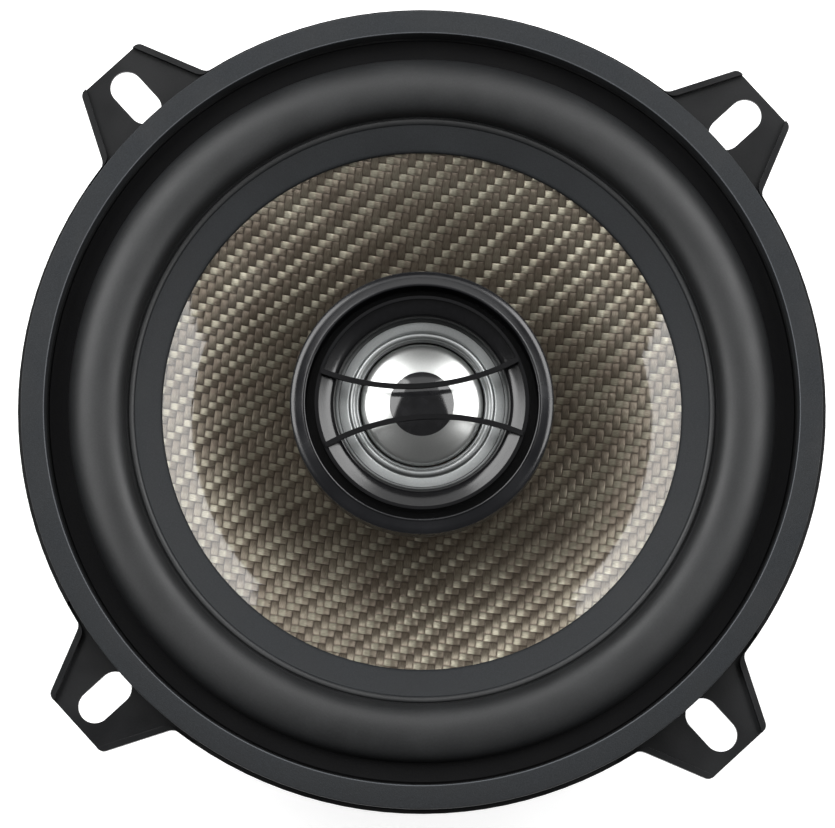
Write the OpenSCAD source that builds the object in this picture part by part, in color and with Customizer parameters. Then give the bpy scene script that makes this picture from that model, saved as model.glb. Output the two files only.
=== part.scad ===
// Coaxial car speaker, 13 cm: a stamped steel frame with four ears, a woven cone in a
// rubber surround, and a small dome tweeter on a post through the motor.
// Millimetres. +Z is the listening direction. The origin is on the speaker's axis, in the
// plane of the flange's rear face, which seats on the panel. X and Y run through the ears.

/* [Frame] */
// Radius of the round flange
rim_r = 65; // [54:0.5:80]
// Thickness of the pressed steel
sheet_t = 1; // [0.8:0.1:1.4]
// Flange width outside the wall that enters the cut-out
flange_w = 8.3; // [6.9:0.1:10]
// Height of the rim's turned-up edge above the flange
rim_lip_h = 1.2; // [0.6:0.1:1.6]
// Thickness of the turned-up edge
rim_lip_t = 0.6; // [0.5:0.05:0.8]
// Depth of the closed band behind the flange
skirt_depth = 8; // [6.7:0.1:9.6]
// How far the closed band narrows over its depth
skirt_taper = 4; // [3:0.1:5]
// How far the spider's ledge lies below the cone's neck
ledge_drop = 5.61; // [5.2:0.01:6.6]
// Width of the ledge, from the cup to the spider's edge
ledge_w = 6.8; // [5:0.1:8]
// Depth of the frame's lower cup, from the ledge to the rear face of its floor
cup_depth = 9; // [8:0.1:12]
// Radius of the hole in the frame's floor
floor_hole_r = 16.5; // [15.5:0.1:19]
// Bend radius of the pressing
bend_r = 1.6; // [1:0.1:2]
// Width of each window, as an angle
window_angle = 62; // [50:1:66]
// Corner radius of the windows
window_corner_r = 3; // [1:0.1:4]

/* [Ears] */
// How far the slots' centres lie outside the rim
slot_reach = 3.75; // [3.25:0.25:5]
// Width of a slot
slot_w = 5.3; // [4.4:0.1:6]
// Length of a slot, end to end
slot_len = 9.7; // [8:0.1:11.6]
// Steel between the slot and the ear's tip
ear_margin = 1.5; // [1.2:0.1:3]
// Width of the turned-up strip along an ear's flanks
ear_lip_w = 1; // [0.6:0.05:1.4]
// Width of the ear's tip
ear_tip_w = 12.4; // [10.4:0.1:15]
// Angle of the ear's sides to its centre line
ear_side_angle = 24.5; // [15:0.5:30]

/* [Trim ring and surround] */
// Width of the trim ring
ring_w = 3.8; // [3.1:0.1:4.6]
// Height of the trim ring
ring_h = 5; // [4:0.1:6]
// Gap between the trim ring and the turned-up edge
ring_gap = 0.1; // [0.05:0.05:0.4]
// Thickness of the rubber
rubber_t = 0.6; // [0.5:0.05:0.8]
// Width of the surround's roll
roll_w = 9.4; // [7.9:0.1:11.2]
// Height of the surround's roll
roll_h = 4.1; // [3.4:0.1:4.9]
// Width of the surround's rim glued to the frame
land_w = 3.3; // [2.7:0.1:4]
// Width of the surround's inner rim glued to the cone
cuff_w = 5.3; // [4.4:0.1:6.4]

/* [Cone] */
// Thickness of the woven cone
cone_t = 0.5; // [0.4:0.05:0.7]
// Slope of the cone at its edge
edge_slope = 18; // [15:0.5:21]
// Slope of the cone at its neck
neck_slope = 45; // [40:0.5:48]
// Height of the cone's edge above the flange's rear face
cone_edge_z = 1.2; // [0.8:0.1:2]
// Height of the neck that is glued to the coil former
neck_h = 3; // [2.5:0.1:3.6]
// Travel of the cone each way
cone_travel = 3.5; // [2.9:0.1:4]

/* [Woofer motor] */
// Inner radius of the coil former
former_r = 12.7; // [12:0.1:13]
// Thickness of the coil former
former_t = 0.3; // [0.25:0.05:0.4]
// Thickness of the copper winding
winding_t = 0.45; // [0.35:0.05:0.5]
// Height of the copper winding
winding_h = 10; // [8.4:0.1:12]
// Gap on each side of the moving coil
coil_gap = 0.4; // [0.3:0.05:0.6]
// Radius of the top plate
top_plate_r = 35; // [32:0.5:38]
// Thickness of the top plate
top_plate_t = 5; // [4.2:0.1:6]
// Radius of the ferrite magnet
magnet_r = 40; // [36.5:0.5:48]
// Thickness of the ferrite magnet
magnet_t = 12; // [11:0.1:14.4]
// Inner radius of the ferrite magnet
magnet_bore_r = 17; // [16:0.1:20]
// Radius of the back plate
back_plate_r = 36.5; // [33:0.5:40]
// Thickness of the back plate
back_plate_t = 5; // [4.6:0.1:6]
// Radius of the hole through the pole
pole_bore_r = 5; // [4.8:0.05:6]
// Radius of the spider
spider_r = 37.8; // [35:0.1:39.5]
// Depth of the spider's waves, each way
spider_wave = 1.2; // [0.8:0.1:1.4]

/* [Tweeter] */
// Height of the tweeter's front edge above the flange's rear face
tweeter_z = 12.4; // [10.4:0.1:14.8]
// Radius of the tweeter holder
holder_r = 21; // [20.5:0.1:23]
// Inner radius of the holder's front
holder_bore_r = 18.6; // [18.2:0.05:19]
// Radius of the tweeter's front ring
capsule_r = 17.05; // [16.6:0.05:17.8]
// Radius of the silver dome
dome_r = 9.9; // [9.4:0.05:10.2]
// Height of the silver dome
dome_h = 2.6; // [2.2:0.1:3]
// Radius of the black disc on the dome
dome_disc_r = 5.1; // [4:0.05:6.2]
// Width of the tweeter's own surround
dome_roll_w = 1.6; // [1.3:0.05:1.7]
// Radius of the diaphragm's flat silver rim
diaphragm_r = 13.2; // [12.6:0.05:13.6]
// Depth of the diaphragm behind the front edge
diaphragm_depth = 4.4; // [3.8:0.1:4.6]
// Travel of the dome each way
dome_travel = 0.3; // [0.2:0.05:0.35]
// Turn of the guard about the axis
guard_turn = -39; // [-90:1:90]
// Distance of each guard bar from the centre
bar_offset = 2.46; // [2:0.02:3]
// Distance of each guard bar's ends from the centre line
bar_end_offset = 5.95; // [5:0.05:7]
// Width of a guard bar
bar_w = 0.8; // [0.65:0.05:1]

/* [Terminals and crossover] */
// Direction of the terminals about the axis
terminal_turn = 225; // [225:90:225]
// Width of the terminal block, as an angle
block_angle = 38; // [34:1:44]
// Thickness of the terminal block
block_t = 2; // [1.6:0.1:2.4]
// Width of the positive blade
wide_blade_w = 4.8; // [4.8:0.1:6.3]
// Width of the negative blade
narrow_blade_w = 2.8; // [2.8:0.1:4]
// Length of the blades
blade_len = 8; // [6.7:0.1:9.6]
// Thickness of the blades
blade_t = 0.8; // [0.5:0.1:0.8]
// Diameter of the capacitor
cap_d = 8; // [6.7:0.1:8.4]
// Length of the capacitor
cap_len = 16; // [13:0.5:19]

/* [Hidden] */

$fn = 96;
over = 1;            // how far a cutter runs past what it cuts
ears = 4;
arc_steps = 8;       // straight steps in a rounded corner
glue_gap = 0.12;     // between glued pieces that move apart in use
fit_gap = 0.05;      // between fixed pieces that pass through each other

// Trim ring and surround
ring_outer = rim_r - rim_lip_t - ring_gap;
ring_inner = ring_outer - ring_w;
ring_edge_r = 0.5;
land_outer = ring_inner - 0.4;
roll_outer = land_outer - land_w;
roll_inner = roll_outer - roll_w;
cuff_lip_w = 0.8;                                // groove between the cuff and the roll
cone_r = roll_inner - 0.3;                       // edge of the cone, under the cuff
cuff_inner = roll_inner - cuff_w;
cuff_outer = roll_inner - cuff_lip_w;

// Cone: a single arc from its edge to its neck
former_out = former_r + former_t;
neck_r = former_out + cone_t;
cone_arc = (cone_r - neck_r) / (sin(neck_slope) - sin(edge_slope));
function cone_sin(r) = sin(edge_slope) + (cone_r - r) / cone_arc;
function cone_z(r) = cone_edge_z - cone_arc * (cos(edge_slope) - sqrt(1 - pow(cone_sin(r), 2)));
cone_steps = 20;
neck_z = cone_z(neck_r);

// Frame
wall_r = rim_r - flange_w;                       // outside of the wall in the cut-out
slot_pitch_r = rim_r + slot_reach;
flange_top = sheet_t;
ledge_depth = ledge_drop - neck_z;
frame_depth = ledge_depth + cup_depth;
cup_r = spider_r - ledge_w;
floor_top = sheet_t - frame_depth;
ledge_r = spider_r + 0.7;
skirt_r = wall_r - skirt_taper;
skirt_slope = skirt_taper / (skirt_depth + flange_top);
leg_run = skirt_r - sheet_t - ledge_r;
leg_drop = ledge_depth - skirt_depth;
leg_slope = leg_run / leg_drop;
function wall_outside(inside, slope) = inside + sheet_t * sqrt(1 + slope * slope);
function skirt_outside(z) =
    wall_outside(wall_r - sheet_t - skirt_slope * (flange_top - z), skirt_slope);
function leg_outside(z) = wall_outside(ledge_r + leg_slope * (z + ledge_depth), leg_slope);
ear_tip_r = slot_pitch_r + slot_len / 2 + ear_margin;
ear_tip_corner_r = 1.3;
ear_root_r = 2;                                  // fillet where an ear meets the rim
ear_sink = 0.15;                                 // how far the fillet starts inside the rim
ear_root_w = ear_tip_w / 2 + (ear_tip_r - rim_r) * tan(ear_side_angle);

// Motor
plate_top = -frame_depth;
plate_bottom = plate_top - top_plate_t;
magnet_bottom = plate_bottom - magnet_t;
back_z = magnet_bottom - back_plate_t;
plate_bore_r = former_out + winding_t + coil_gap;
pole_r = former_r - coil_gap;
pole_top = plate_top + 0.5;
coil_mid = (plate_top + plate_bottom) / 2;
former_bottom = coil_mid - winding_h / 2 - 1.5;
spider_t = 0.5;
spider_collar_h = 1.6;
spider_collar_r = former_out + glue_gap;
spider_wave_in = spider_collar_r + 1;            // the waves run from here
spider_wave_out = cup_r - 1;                     // to here
spider_pitch = 4;                                // about how far apart they are
spider_waves = max(1, round((spider_wave_out - spider_wave_in) / spider_pitch));
rivet_pitch_r = (floor_hole_r + cup_r) / 2;
rivet_head_share = 28 / 145;                     // of the floor's flat ring
rivet_head_r = (cup_r - floor_hole_r) * rivet_head_share;
rivet_r = rivet_head_r / 1.75;
rivet_head_h = 1.1;
rivet_depth = 3;                                 // into the top plate
recess_r = 10;                                   // around the nut at the back
recess_depth = 4;
channel_w = 5;                                   // for the tweeter's leads at the back
channel_depth = 2;

// Tweeter, from the front edge down
guard_ring_h = 0.6;
guard_ring_t = 0.5;
bar_rise = 1.1;                                  // how far the bars arch forward
bar_depth = 1.2;
front_z = tweeter_z - guard_ring_h;              // top of the front ring
diaphragm_z = tweeter_z - diaphragm_depth;       // top of the silver rim
film_t = 0.25;
coil_len = 4.6;
tweeter_gap = 0.3;
tweeter_coil_r = dome_r - film_t;                // inside of the tweeter's coil
tweeter_coil_t = 0.3;
deck_t = 3;                                      // front ring's deck under the diaphragm
deck_z = diaphragm_z - 0.6;
yoke_top = deck_z - deck_t;
plate2_t = 1.6;
magnet2_t = 3.2;
yoke2_t = 2;
yoke2_r = 12.7;
yoke2_wall = yoke2_r - (dome_r + tweeter_coil_t + tweeter_gap);
yoke2_floor = yoke_top - plate2_t - magnet2_t;
holder_floor = yoke2_floor - yoke2_t;
holder_t = 2.4;                                  // thickness of the holder's floor
holder_base = holder_floor - holder_t;
holder_base_r = 8.5;
shoulder_r = 3.6;                                // gently rounded front edge of the holder
felt_t = 1.6;

// Post
post_r = pole_bore_r - fit_gap;
post_bore_r = 2.4;
post_foot_r = 7.5;
post_foot_t = 2;
post_neck_r = 6;
thread_r = 4;
nut_flats = 13;
nut_t = 2.2;
nut_top = back_z + recess_depth;
wire_side = 1.1;                                 // leads either side of the post's axis

// Terminals, in the block's own frame with X pointing away from the axis
block_top = -3.4;
blade_side = 7.5;                                // blades either side of the block's middle
tag_len = 3.2;                                   // solder tag inside the block
tag_w = 2.8;
tag_z = -skirt_depth - 9.5;
small_rivet_r = 1.1;
small_head_r = 1.9;
small_head_h = 0.5;
head_gap = 0.06;                                 // a flat head against the round wall
blade_rivet_z = tag_z - small_head_r - 0.3;
block_bottom = blade_rivet_z - small_head_r - 0.5;
block_face = skirt_outside(-skirt_depth) + fit_gap; // inside face where the blades lie
block_half_w = blade_side + wide_blade_w / 2 + 3;
blade_hole_r = 0.7;

// Capacitor on the leg beside the terminals
cap_turn = terminal_turn - 180 / ears;
cap_z = tag_z - 1;
cap_r = cap_d / 2;
cap_lead_gap = 1.3;                              // leads either side of the can's middle
cradle_t = 1;
cap_gap = 0.42;                                  // between the can and the leg
cap_axis_r = leg_outside(cap_z) + (cap_r + cap_gap) * sqrt(1 + leg_slope * leg_slope);
strap_t = 0.5;
strap_w = 3.5;

// Leads. Their points are chosen by hand, in the terminal block's frame, from tag or can
// at one end to cone, sleeve or tweeter at the other.
lead_sides = 8;
tinsel_d = 1.2;
wire_d = 1.1;
cap_wire_d = 0.8;
sleeve_d = 2.2;
anchor_r = 24.2;
anchor_turn = 14.6;                              // of each lead's end about the axis
anchor_d = 3;
anchor_t = 0.8;
cap_end = [(cap_axis_r + cap_len / 2) * cos(45), (cap_len / 2 - cap_axis_r) * cos(45), cap_z];
reach = magnet_r + 1.6;                          // leads up the side of the magnet

// --- helpers -------------------------------------------------------------------------

function unit(v) = v / norm(v);
function left(v) = [-v[1], v[0]];
function arc(centre, r, a0, a1, n = arc_steps) =
    [for (i = [0:n]) centre + r * [cos(a0 + (a1 - a0) * i / n), sin(a0 + (a1 - a0) * i / n)]];

// A polygon's corner i rounded to radius r, as a list of points
function corner(pts, i, r, n) =
    let (p = pts[i],
         a = unit(pts[(i + len(pts) - 1) % len(pts)] - p),
         b = unit(pts[(i + 1) % len(pts)] - p),
         half = acos(max(-1, min(1, a * b))) / 2,
         centre = p + unit(a + b) * r / sin(half),
         from = p + a * r / tan(half) - centre,
         to = p + b * r / tan(half) - centre,
         a0 = atan2(from[1], from[0]),
         turn = (atan2(to[1], to[0]) - a0 + 540) % 360 - 180)
    r <= 0 ? [p] : [for (k = [0:n]) centre + r * [cos(a0 + turn * k / n), sin(a0 + turn * k / n)]];
function rounded(pts, radii, n = arc_steps) =
    [for (i = [0:len(pts) - 1]) each corner(pts, i, radii[i], n)];

// An open line with its inner corners rounded to r
function eased(pts, r, n = 5) =
    concat([pts[0]], [for (i = [1:len(pts) - 2]) each corner(pts, i, r, n)], [pts[len(pts) - 1]]);

// A closed outline: the line pts given a thickness t on its left
function mitre(pts, i) =
    let (last = len(pts) - 1,
         a = unit(pts[max(i, 1)] - pts[max(i, 1) - 1]),
         b = unit(pts[min(i, last - 1) + 1] - pts[min(i, last - 1)]),
         n = left(unit(a + b)))
    n / (n * left(a));
function strip(pts, t) =
    concat(pts, [for (i = [len(pts) - 1:-1:0]) pts[i] + t * mitre(pts, i)]);

module ring(r_in, r_out, z0, z1) {
    translate([0, 0, z0]) difference() {
        cylinder(r = r_out, h = z1 - z0);
        translate([0, 0, -over]) cylinder(r = r_in, h = z1 - z0 + 2 * over);
    }
}

module around(count, first = 0) {
    for (i = [0:count - 1]) rotate(first + i * 360 / count) children();
}

// A round tube along a route: one polyhedron with a ring of points at each route point
module tube(route, d, sides = lead_sides) {
    last = len(route) - 1;
    rings = [for (i = [0:last])
        let (t = unit(route[min(i + 1, last)] - route[max(i - 1, 0)]),
             up = abs(t[2]) > 0.9 ? [1, 0, 0] : [0, 0, 1],
             u = unit(cross(t, up)),
             v = cross(t, u))
        for (k = [0:sides - 1]) route[i] + d / 2 * (cos(360 * k / sides) * u + sin(360 * k / sides) * v)];
    walls = [for (i = [0:last - 1]) for (k = [0:sides - 1])
        let (a = i * sides + k, b = i * sides + (k + 1) % sides)
        each [[a, a + sides, b], [b, a + sides, b + sides]]];
    start = [for (k = [0:sides - 1]) k];
    finish = [for (k = [sides - 1:-1:0]) last * sides + k];
    polyhedron(rings, concat(walls, [start], [finish]));
}

// A slot's cutter along X, centred on the origin
module slot_cutter(length, width, h) {
    reach = (length - width) / 2;
    for (side = [-1, 1]) translate([side * reach, 0, 0]) cylinder(d = width, h = h);
    translate([-reach, -width / 2, 0]) cube([2 * reach, width, h]);
}

// --- frame ---------------------------------------------------------------------------

// Outline of an ear along +X. inset moves its sides in, and tip moves its end out.
function ear_outline(inset = 0, tip = 0) =
    let (circle = rim_r - ear_sink,
         shift = inset / cos(ear_side_angle),
         end = ear_tip_r + tip,
         w1 = ear_tip_w / 2 - shift - tip * tan(ear_side_angle),
         w0 = ear_root_w - shift,
         root = asin(w0 / circle),
         base = sqrt(circle * circle - w0 * w0),
         w_root = w0 + (rim_r - base) * tan(ear_side_angle),
         rim = [for (s = [-1, 1]) circle * [cos(root + 5), s * sin(root + 5)]])
    rounded([[wall_r + flange_w / 2, rim[0][1]], rim[0], [base, -w_root], [end, -w1],
             [end, w1], [base, w_root], rim[1], [wall_r + flange_w / 2, rim[1][1]]],
            [0, 0, ear_root_r, ear_tip_corner_r, ear_tip_corner_r, ear_root_r, 0, 0], 5);

frame_line = eased([[floor_hole_r, floor_top], [cup_r - 0.6, floor_top], [cup_r, -ledge_depth],
                    [ledge_r, -ledge_depth], [skirt_r - sheet_t, -skirt_depth],
                    [wall_r - sheet_t, flange_top], [rim_r - rim_lip_t / 2, flange_top]], bend_r);

// The flange's edge and the ears, with their turned-up edge
module flange_edge() {
    lip_top = flange_top + rim_lip_h;
    difference() {
        union() {
            cylinder(r = rim_r, h = lip_top);
            around(ears) linear_extrude(lip_top) polygon(ear_outline());
        }
        translate([0, 0, flange_top]) cylinder(r = rim_r - rim_lip_t, h = lip_top);
        around(ears) translate([0, 0, flange_top]) linear_extrude(lip_top)
            polygon(ear_outline(ear_lip_w, over));
        translate([0, 0, -over]) cylinder(r = wall_r + flange_w / 3, h = lip_top + over);
    }
}

module window_cutter() {
    top = -skirt_depth - 1;
    bottom = -ledge_depth + 1.6;
    top_w = skirt_r * sin(window_angle / 2);
    bottom_w = (ledge_r + 2) * sin(window_angle / 2);
    rotate([90, 0, 90]) translate([0, 0, cup_r * 0.6])
        linear_extrude(rim_r)
            polygon(rounded([[-top_w, top], [-bottom_w, bottom], [bottom_w, bottom], [top_w, top]],
                            [for (i = [0:3]) window_corner_r]));
}

module frame() {
    color("dimgray") difference() {
        union() {
            rotate_extrude() polygon(strip(frame_line, -sheet_t));
            flange_edge();
        }
        around(ears) translate([slot_pitch_r, 0, -over])
            slot_cutter(slot_len, slot_w, sheet_t + 2 * over);
        around(ears, 180 / ears) window_cutter();
        around(ears, 180 / ears) translate([rivet_pitch_r, 0, -frame_depth - over])
            cylinder(r = rivet_r + fit_gap, h = sheet_t + 2 * over);
        rotate(terminal_turn) block_rivet_places() translate([-sheet_t - over, 0, 0])
            rotate([0, 90, 0]) cylinder(r = small_rivet_r + fit_gap, h = sheet_t + 2 * over);
    }
}

module trim_ring() {
    color([0.16, 0.17, 0.19]) rotate_extrude()
        polygon(rounded([[ring_inner, flange_top], [ring_outer, flange_top],
                         [ring_outer, flange_top + ring_h], [ring_inner, flange_top + ring_h]],
                        [0, 0, ring_edge_r, ring_edge_r]));
}

module frame_rivets() {
    color("silver") around(ears, 180 / ears) translate([rivet_pitch_r, 0, 0]) {
        translate([0, 0, plate_top - rivet_depth]) cylinder(r = rivet_r, h = rivet_depth + sheet_t);
        translate([0, 0, floor_top]) intersection() {
            cylinder(r = rivet_head_r, h = rivet_head_h);
            translate([0, 0, rivet_head_h - rivet_head_r * 1.6]) sphere(r = rivet_head_r * 1.6);
        }
    }
}

// --- cone and suspension -------------------------------------------------------------

cone_front = [for (i = [0:cone_steps]) let (r = cone_r + (neck_r - cone_r) * i / cone_steps)
    [r, cone_z(r)]];

module surround() {
    cuff = [for (i = [0:5]) let (r = cuff_inner + (cuff_outer - cuff_inner) * i / 5)
        [r, cone_z(r) + glue_gap]];
    root = [roll_inner, cone_edge_z + glue_gap];
    middle = [(roll_outer + roll_inner) / 2, (flange_top + root[1]) / 2];
    roll = [for (a = [180:-12:0])
        [middle[0] + roll_w / 2 * cos(a),
         (a > 90 ? root[1] : flange_top) * abs(cos(a)) + middle[1] * (1 - abs(cos(a)))
         + (roll_h - rubber_t) * sin(a)]];
    color([0.1, 0.1, 0.11]) rotate_extrude()
        polygon(strip(concat(cuff, roll, [[land_outer, flange_top]]), rubber_t));
}

module cone() {
    neck_bottom = neck_z - neck_h;
    color([0.42, 0.37, 0.31]) rotate_extrude()
        polygon(concat(cone_front,
                       [[former_out, neck_z - 0.3], [former_out, neck_bottom], [neck_r, neck_bottom]],
                       [for (i = [cone_steps - 1:-1:0])
                           cone_front[i] + cone_t * [cone_sin(cone_front[i][0]),
                                                     -sqrt(1 - pow(cone_sin(cone_front[i][0]), 2))]]));
}

module coil_former() {
    color("tan") ring(former_r, former_out, former_bottom, neck_z - 0.3);
}

module coil_winding() {
    color("chocolate") ring(former_out, former_out + winding_t,
                            coil_mid - winding_h / 2, coil_mid + winding_h / 2);
}

module spider() {
    inner = spider_collar_r;
    seat = fit_gap - ledge_depth;
    step = (spider_wave_out - spider_wave_in) / (spider_waves * 12);
    waves = [for (i = [0:spider_waves * 12]) let (r = spider_wave_in + i * step)
        [r, seat + spider_wave * sin(360 * i / 12)]];
    color([0.72, 0.55, 0.3]) rotate_extrude()
        polygon(strip(concat([[inner + spider_t, seat + spider_collar_h],
                              [inner + spider_t, seat]], waves, [[spider_r, seat]]), spider_t));
}

// --- woofer motor --------------------------------------------------------------------

module top_plate() {
    color("darkgray") difference() {
        ring(plate_bore_r, top_plate_r, plate_bottom, plate_top);
        around(ears, 180 / ears) translate([rivet_pitch_r, 0, plate_top - rivet_depth])
            cylinder(r = rivet_r + fit_gap, h = rivet_depth + over);
    }
}

module magnet() {
    chamfer = 1;
    color([0.2, 0.2, 0.21]) rotate_extrude()
        polygon([[magnet_bore_r, magnet_bottom], [magnet_r - chamfer, magnet_bottom],
                 [magnet_r, magnet_bottom + chamfer], [magnet_r, plate_bottom - chamfer],
                 [magnet_r - chamfer, plate_bottom], [magnet_bore_r, plate_bottom]]);
}

module yoke() {
    chamfer = 0.8;
    color("darkgray") difference() {
        rotate_extrude()
            polygon([[pole_bore_r, back_z], [back_plate_r - chamfer, back_z],
                     [back_plate_r, back_z + chamfer], [back_plate_r, magnet_bottom],
                     [pole_r, magnet_bottom], [pole_r, pole_top - chamfer],
                     [pole_r - chamfer, pole_top], [pole_bore_r, pole_top]]);
        translate([0, 0, back_z - over]) cylinder(r = recess_r, h = recess_depth + over);
        rotate(terminal_turn) translate([0, -channel_w / 2, back_z - over])
            cube([magnet_r, channel_w, channel_depth + over]);
    }
}

// --- tweeter -------------------------------------------------------------------------

module tweeter_post() {
    foot_top = pole_top + post_foot_t;
    seat = holder_base;
    color([0.13, 0.13, 0.14]) rotate_extrude()
        polygon([[post_bore_r, nut_top - nut_t], [thread_r, nut_top - nut_t], [thread_r, nut_top],
                 [post_r, nut_top], [post_r, pole_top], [post_foot_r, pole_top],
                 [post_foot_r, foot_top], [post_neck_r, foot_top + 2], [post_neck_r, seat - 2],
                 [holder_base_r - 1, seat], [thread_r, seat], [thread_r, holder_floor],
                 [post_bore_r, holder_floor]]);
}

module post_nut() {
    color("silver") translate([0, 0, nut_top - nut_t]) difference() {
        cylinder(d = nut_flats / cos(30), h = nut_t, $fn = 6);
        translate([0, 0, -over]) cylinder(r = thread_r + fit_gap, h = nut_t + 2 * over, $fn = 96);
    }
}

module tweeter_holder() {
    ledge_z = yoke_top;
    lip = 0.5;
    waist_z = ledge_z - 1.4;
    shoulder_turn = 63;
    shoulder_edge = 0.15;
    shoulder_z = tweeter_z - 0.1 - shoulder_r * (sin(84) - sin(shoulder_turn));
    outside = concat([[holder_base_r, holder_base], [yoke2_r + 1.6, holder_floor]],
                     [[holder_r - 1.2, waist_z], [holder_r, waist_z + 1.2]],
                     [[holder_r, shoulder_z - 0.4]],
                     arc([holder_r - shoulder_edge - shoulder_r * cos(shoulder_turn),
                          shoulder_z - shoulder_r * sin(shoulder_turn)],
                         shoulder_r, shoulder_turn, 84),
                     [[holder_bore_r + lip * 0.4, tweeter_z + lip * 0.3],
                      [holder_bore_r, tweeter_z - lip * 0.4]]);
    inside = [[holder_bore_r, ledge_z], [yoke2_r + fit_gap, ledge_z],
              [yoke2_r + fit_gap, holder_floor], [thread_r + fit_gap, holder_floor],
              [thread_r + fit_gap, holder_base]];
    color([0.15, 0.15, 0.17]) rotate_extrude() polygon(concat(outside, inside));
}

module tweeter_front() {
    bowl_foot = diaphragm_r + 0.05;
    bowl_z = diaphragm_z + 0.05;
    rise = front_z - bowl_z;
    run = capsule_r - guard_ring_t - bowl_foot;
    flare = 0.21;                                // share of the rise that is an even slope
    bowl = [for (t = [0:0.1:1])
        [bowl_foot + run * t, bowl_z + rise * (flare * t + (1 - flare) * (1 - pow(1 - t, 5.4)))]];
    color([0.12, 0.12, 0.13]) rotate_extrude()
        polygon(concat([[dome_r + tweeter_coil_t + tweeter_gap, yoke_top],
                        [capsule_r, yoke_top], [capsule_r, front_z]],
                       [for (i = [len(bowl) - 1:-1:0]) bowl[i]],
                       [[bowl_foot, deck_z], [dome_r + tweeter_coil_t + tweeter_gap, deck_z]]));
}

module guard_bar() {
    ring_mid = capsule_r - guard_ring_t / 2;
    half = sqrt(ring_mid * ring_mid - bar_end_offset * bar_end_offset);
    sag = bar_end_offset - bar_offset;
    bend = (half * half + sag * sag) / (2 * sag);
    arch = (half * half + bar_rise * bar_rise) / (2 * bar_rise);
    intersection() {
        translate([0, bar_offset + bend, front_z - over])
            ring(bend - bar_w / 2, bend + bar_w / 2, 0, bar_rise + bar_depth + 3 * over, $fn = 192);
        translate([0, 0, front_z + bar_rise - arch]) rotate([90, 0, 0])
            ring(arch, arch + bar_depth, -capsule_r, capsule_r, $fn = 192);
        translate([0, 0, front_z]) cylinder(r = ring_mid, h = bar_rise + bar_depth + 2 * over);
    }
}

module tweeter_guard() {
    color([0.1, 0.1, 0.11]) rotate(guard_turn) {
        ring(capsule_r - guard_ring_t, capsule_r, front_z, front_z + guard_ring_h);
        for (side = [0, 1]) mirror([0, side, 0]) guard_bar();
    }
}

dome_bend = (dome_r * dome_r + dome_h * dome_h) / (2 * dome_h);
dome_z = diaphragm_z - 0.35;                     // base of the dome
function dome_angle(r) = asin(r / dome_bend);
function dome_arc(r_from, r_to, bend, n) =
    let (c = [0, dome_z + dome_h - dome_bend])
    [for (i = [0:n]) let (a = dome_angle(r_from) + (dome_angle(r_to) - dome_angle(r_from)) * i / n)
        c + bend * [sin(a), cos(a)]];

dome_top = dome_arc(0, dome_disc_r, dome_bend, 8);

module tweeter_dome() {
    outer = concat(dome_top, dome_arc(dome_disc_r + 0.5, dome_r, dome_bend, 8));
    inner = dome_arc(0, dome_r, dome_bend - film_t, 16);
    color("gainsboro") rotate_extrude()
        polygon(concat([for (i = [len(outer) - 1:-1:0]) outer[i]], inner));
}

module dome_disc() {
    skin = 0.12;
    top = dome_arc(0, dome_disc_r, dome_bend + skin, 8);
    color([0.1, 0.1, 0.11]) rotate_extrude()
        polygon(concat([for (i = [len(dome_top) - 1:-1:0]) dome_top[i]], top));
}

module tweeter_surround() {
    start = dome_r + glue_gap;
    line = concat([[start, dome_z - 0.1], [start + 0.35, dome_z - 0.2]],
                  [for (a = [180:-20:0])
                      [start + 0.5 + (dome_roll_w - 0.5) * (1 + cos(a)) / 2,
                       diaphragm_z - film_t + 0.45 * sin(a)]],
                  [[diaphragm_r, diaphragm_z - film_t]]);
    color("silver") rotate_extrude() polygon(strip(line, film_t));
}

module tweeter_coil() {
    top = dome_z - film_t * cos(dome_angle(dome_r));
    color("chocolate") ring(tweeter_coil_r, tweeter_coil_r + tweeter_coil_t, top - coil_len, top);
}

module felt_pad() {
    color([0.3, 0.3, 0.3]) ring(2, dome_r * 0.66, yoke_top, yoke_top + felt_t);
}

module tweeter_plate() {
    color("darkgray") ring(0.8, tweeter_coil_r - tweeter_gap, yoke_top - plate2_t, yoke_top);
}

module tweeter_magnet() {
    color("silver") ring(0.8, dome_r - 1.8, yoke2_floor, yoke2_floor + magnet2_t);
}

module tweeter_yoke() {
    color("darkgray") difference() {
        translate([0, 0, holder_floor]) cylinder(r = yoke2_r, h = yoke_top - holder_floor);
        translate([0, 0, yoke2_floor])
            cylinder(r = yoke2_r - yoke2_wall, h = yoke_top - yoke2_floor + over);
        rotate(terminal_turn) for (side = [-1, 1])
            translate([0, side * wire_side, holder_floor - over])
                cylinder(r = wire_d / 2 + fit_gap, h = yoke2_t + 2 * over, $fn = 24);
    }
}

// --- terminals -----------------------------------------------------------------------

module sector(angle, reach, z0, z1) {
    translate([0, 0, z0]) linear_extrude(z1 - z0)
        polygon([[0, 0], reach * [cos(angle / 2), -sin(angle / 2)], [reach, 0],
                 reach * [cos(angle / 2), sin(angle / 2)]]);
}

module block_rivet_places() {
    z = (block_top - skirt_depth) / 2 + 0.5;
    for (side = [-1, 1]) rotate(side * block_angle * 0.38) translate([skirt_outside(z), 0, z])
        rotate([0, atan(skirt_slope), 0]) children();
}

module blade_rivet_places() {
    for (side = [-1, 1]) translate([block_face, side * blade_side, blade_rivet_z]) children();
}

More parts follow.
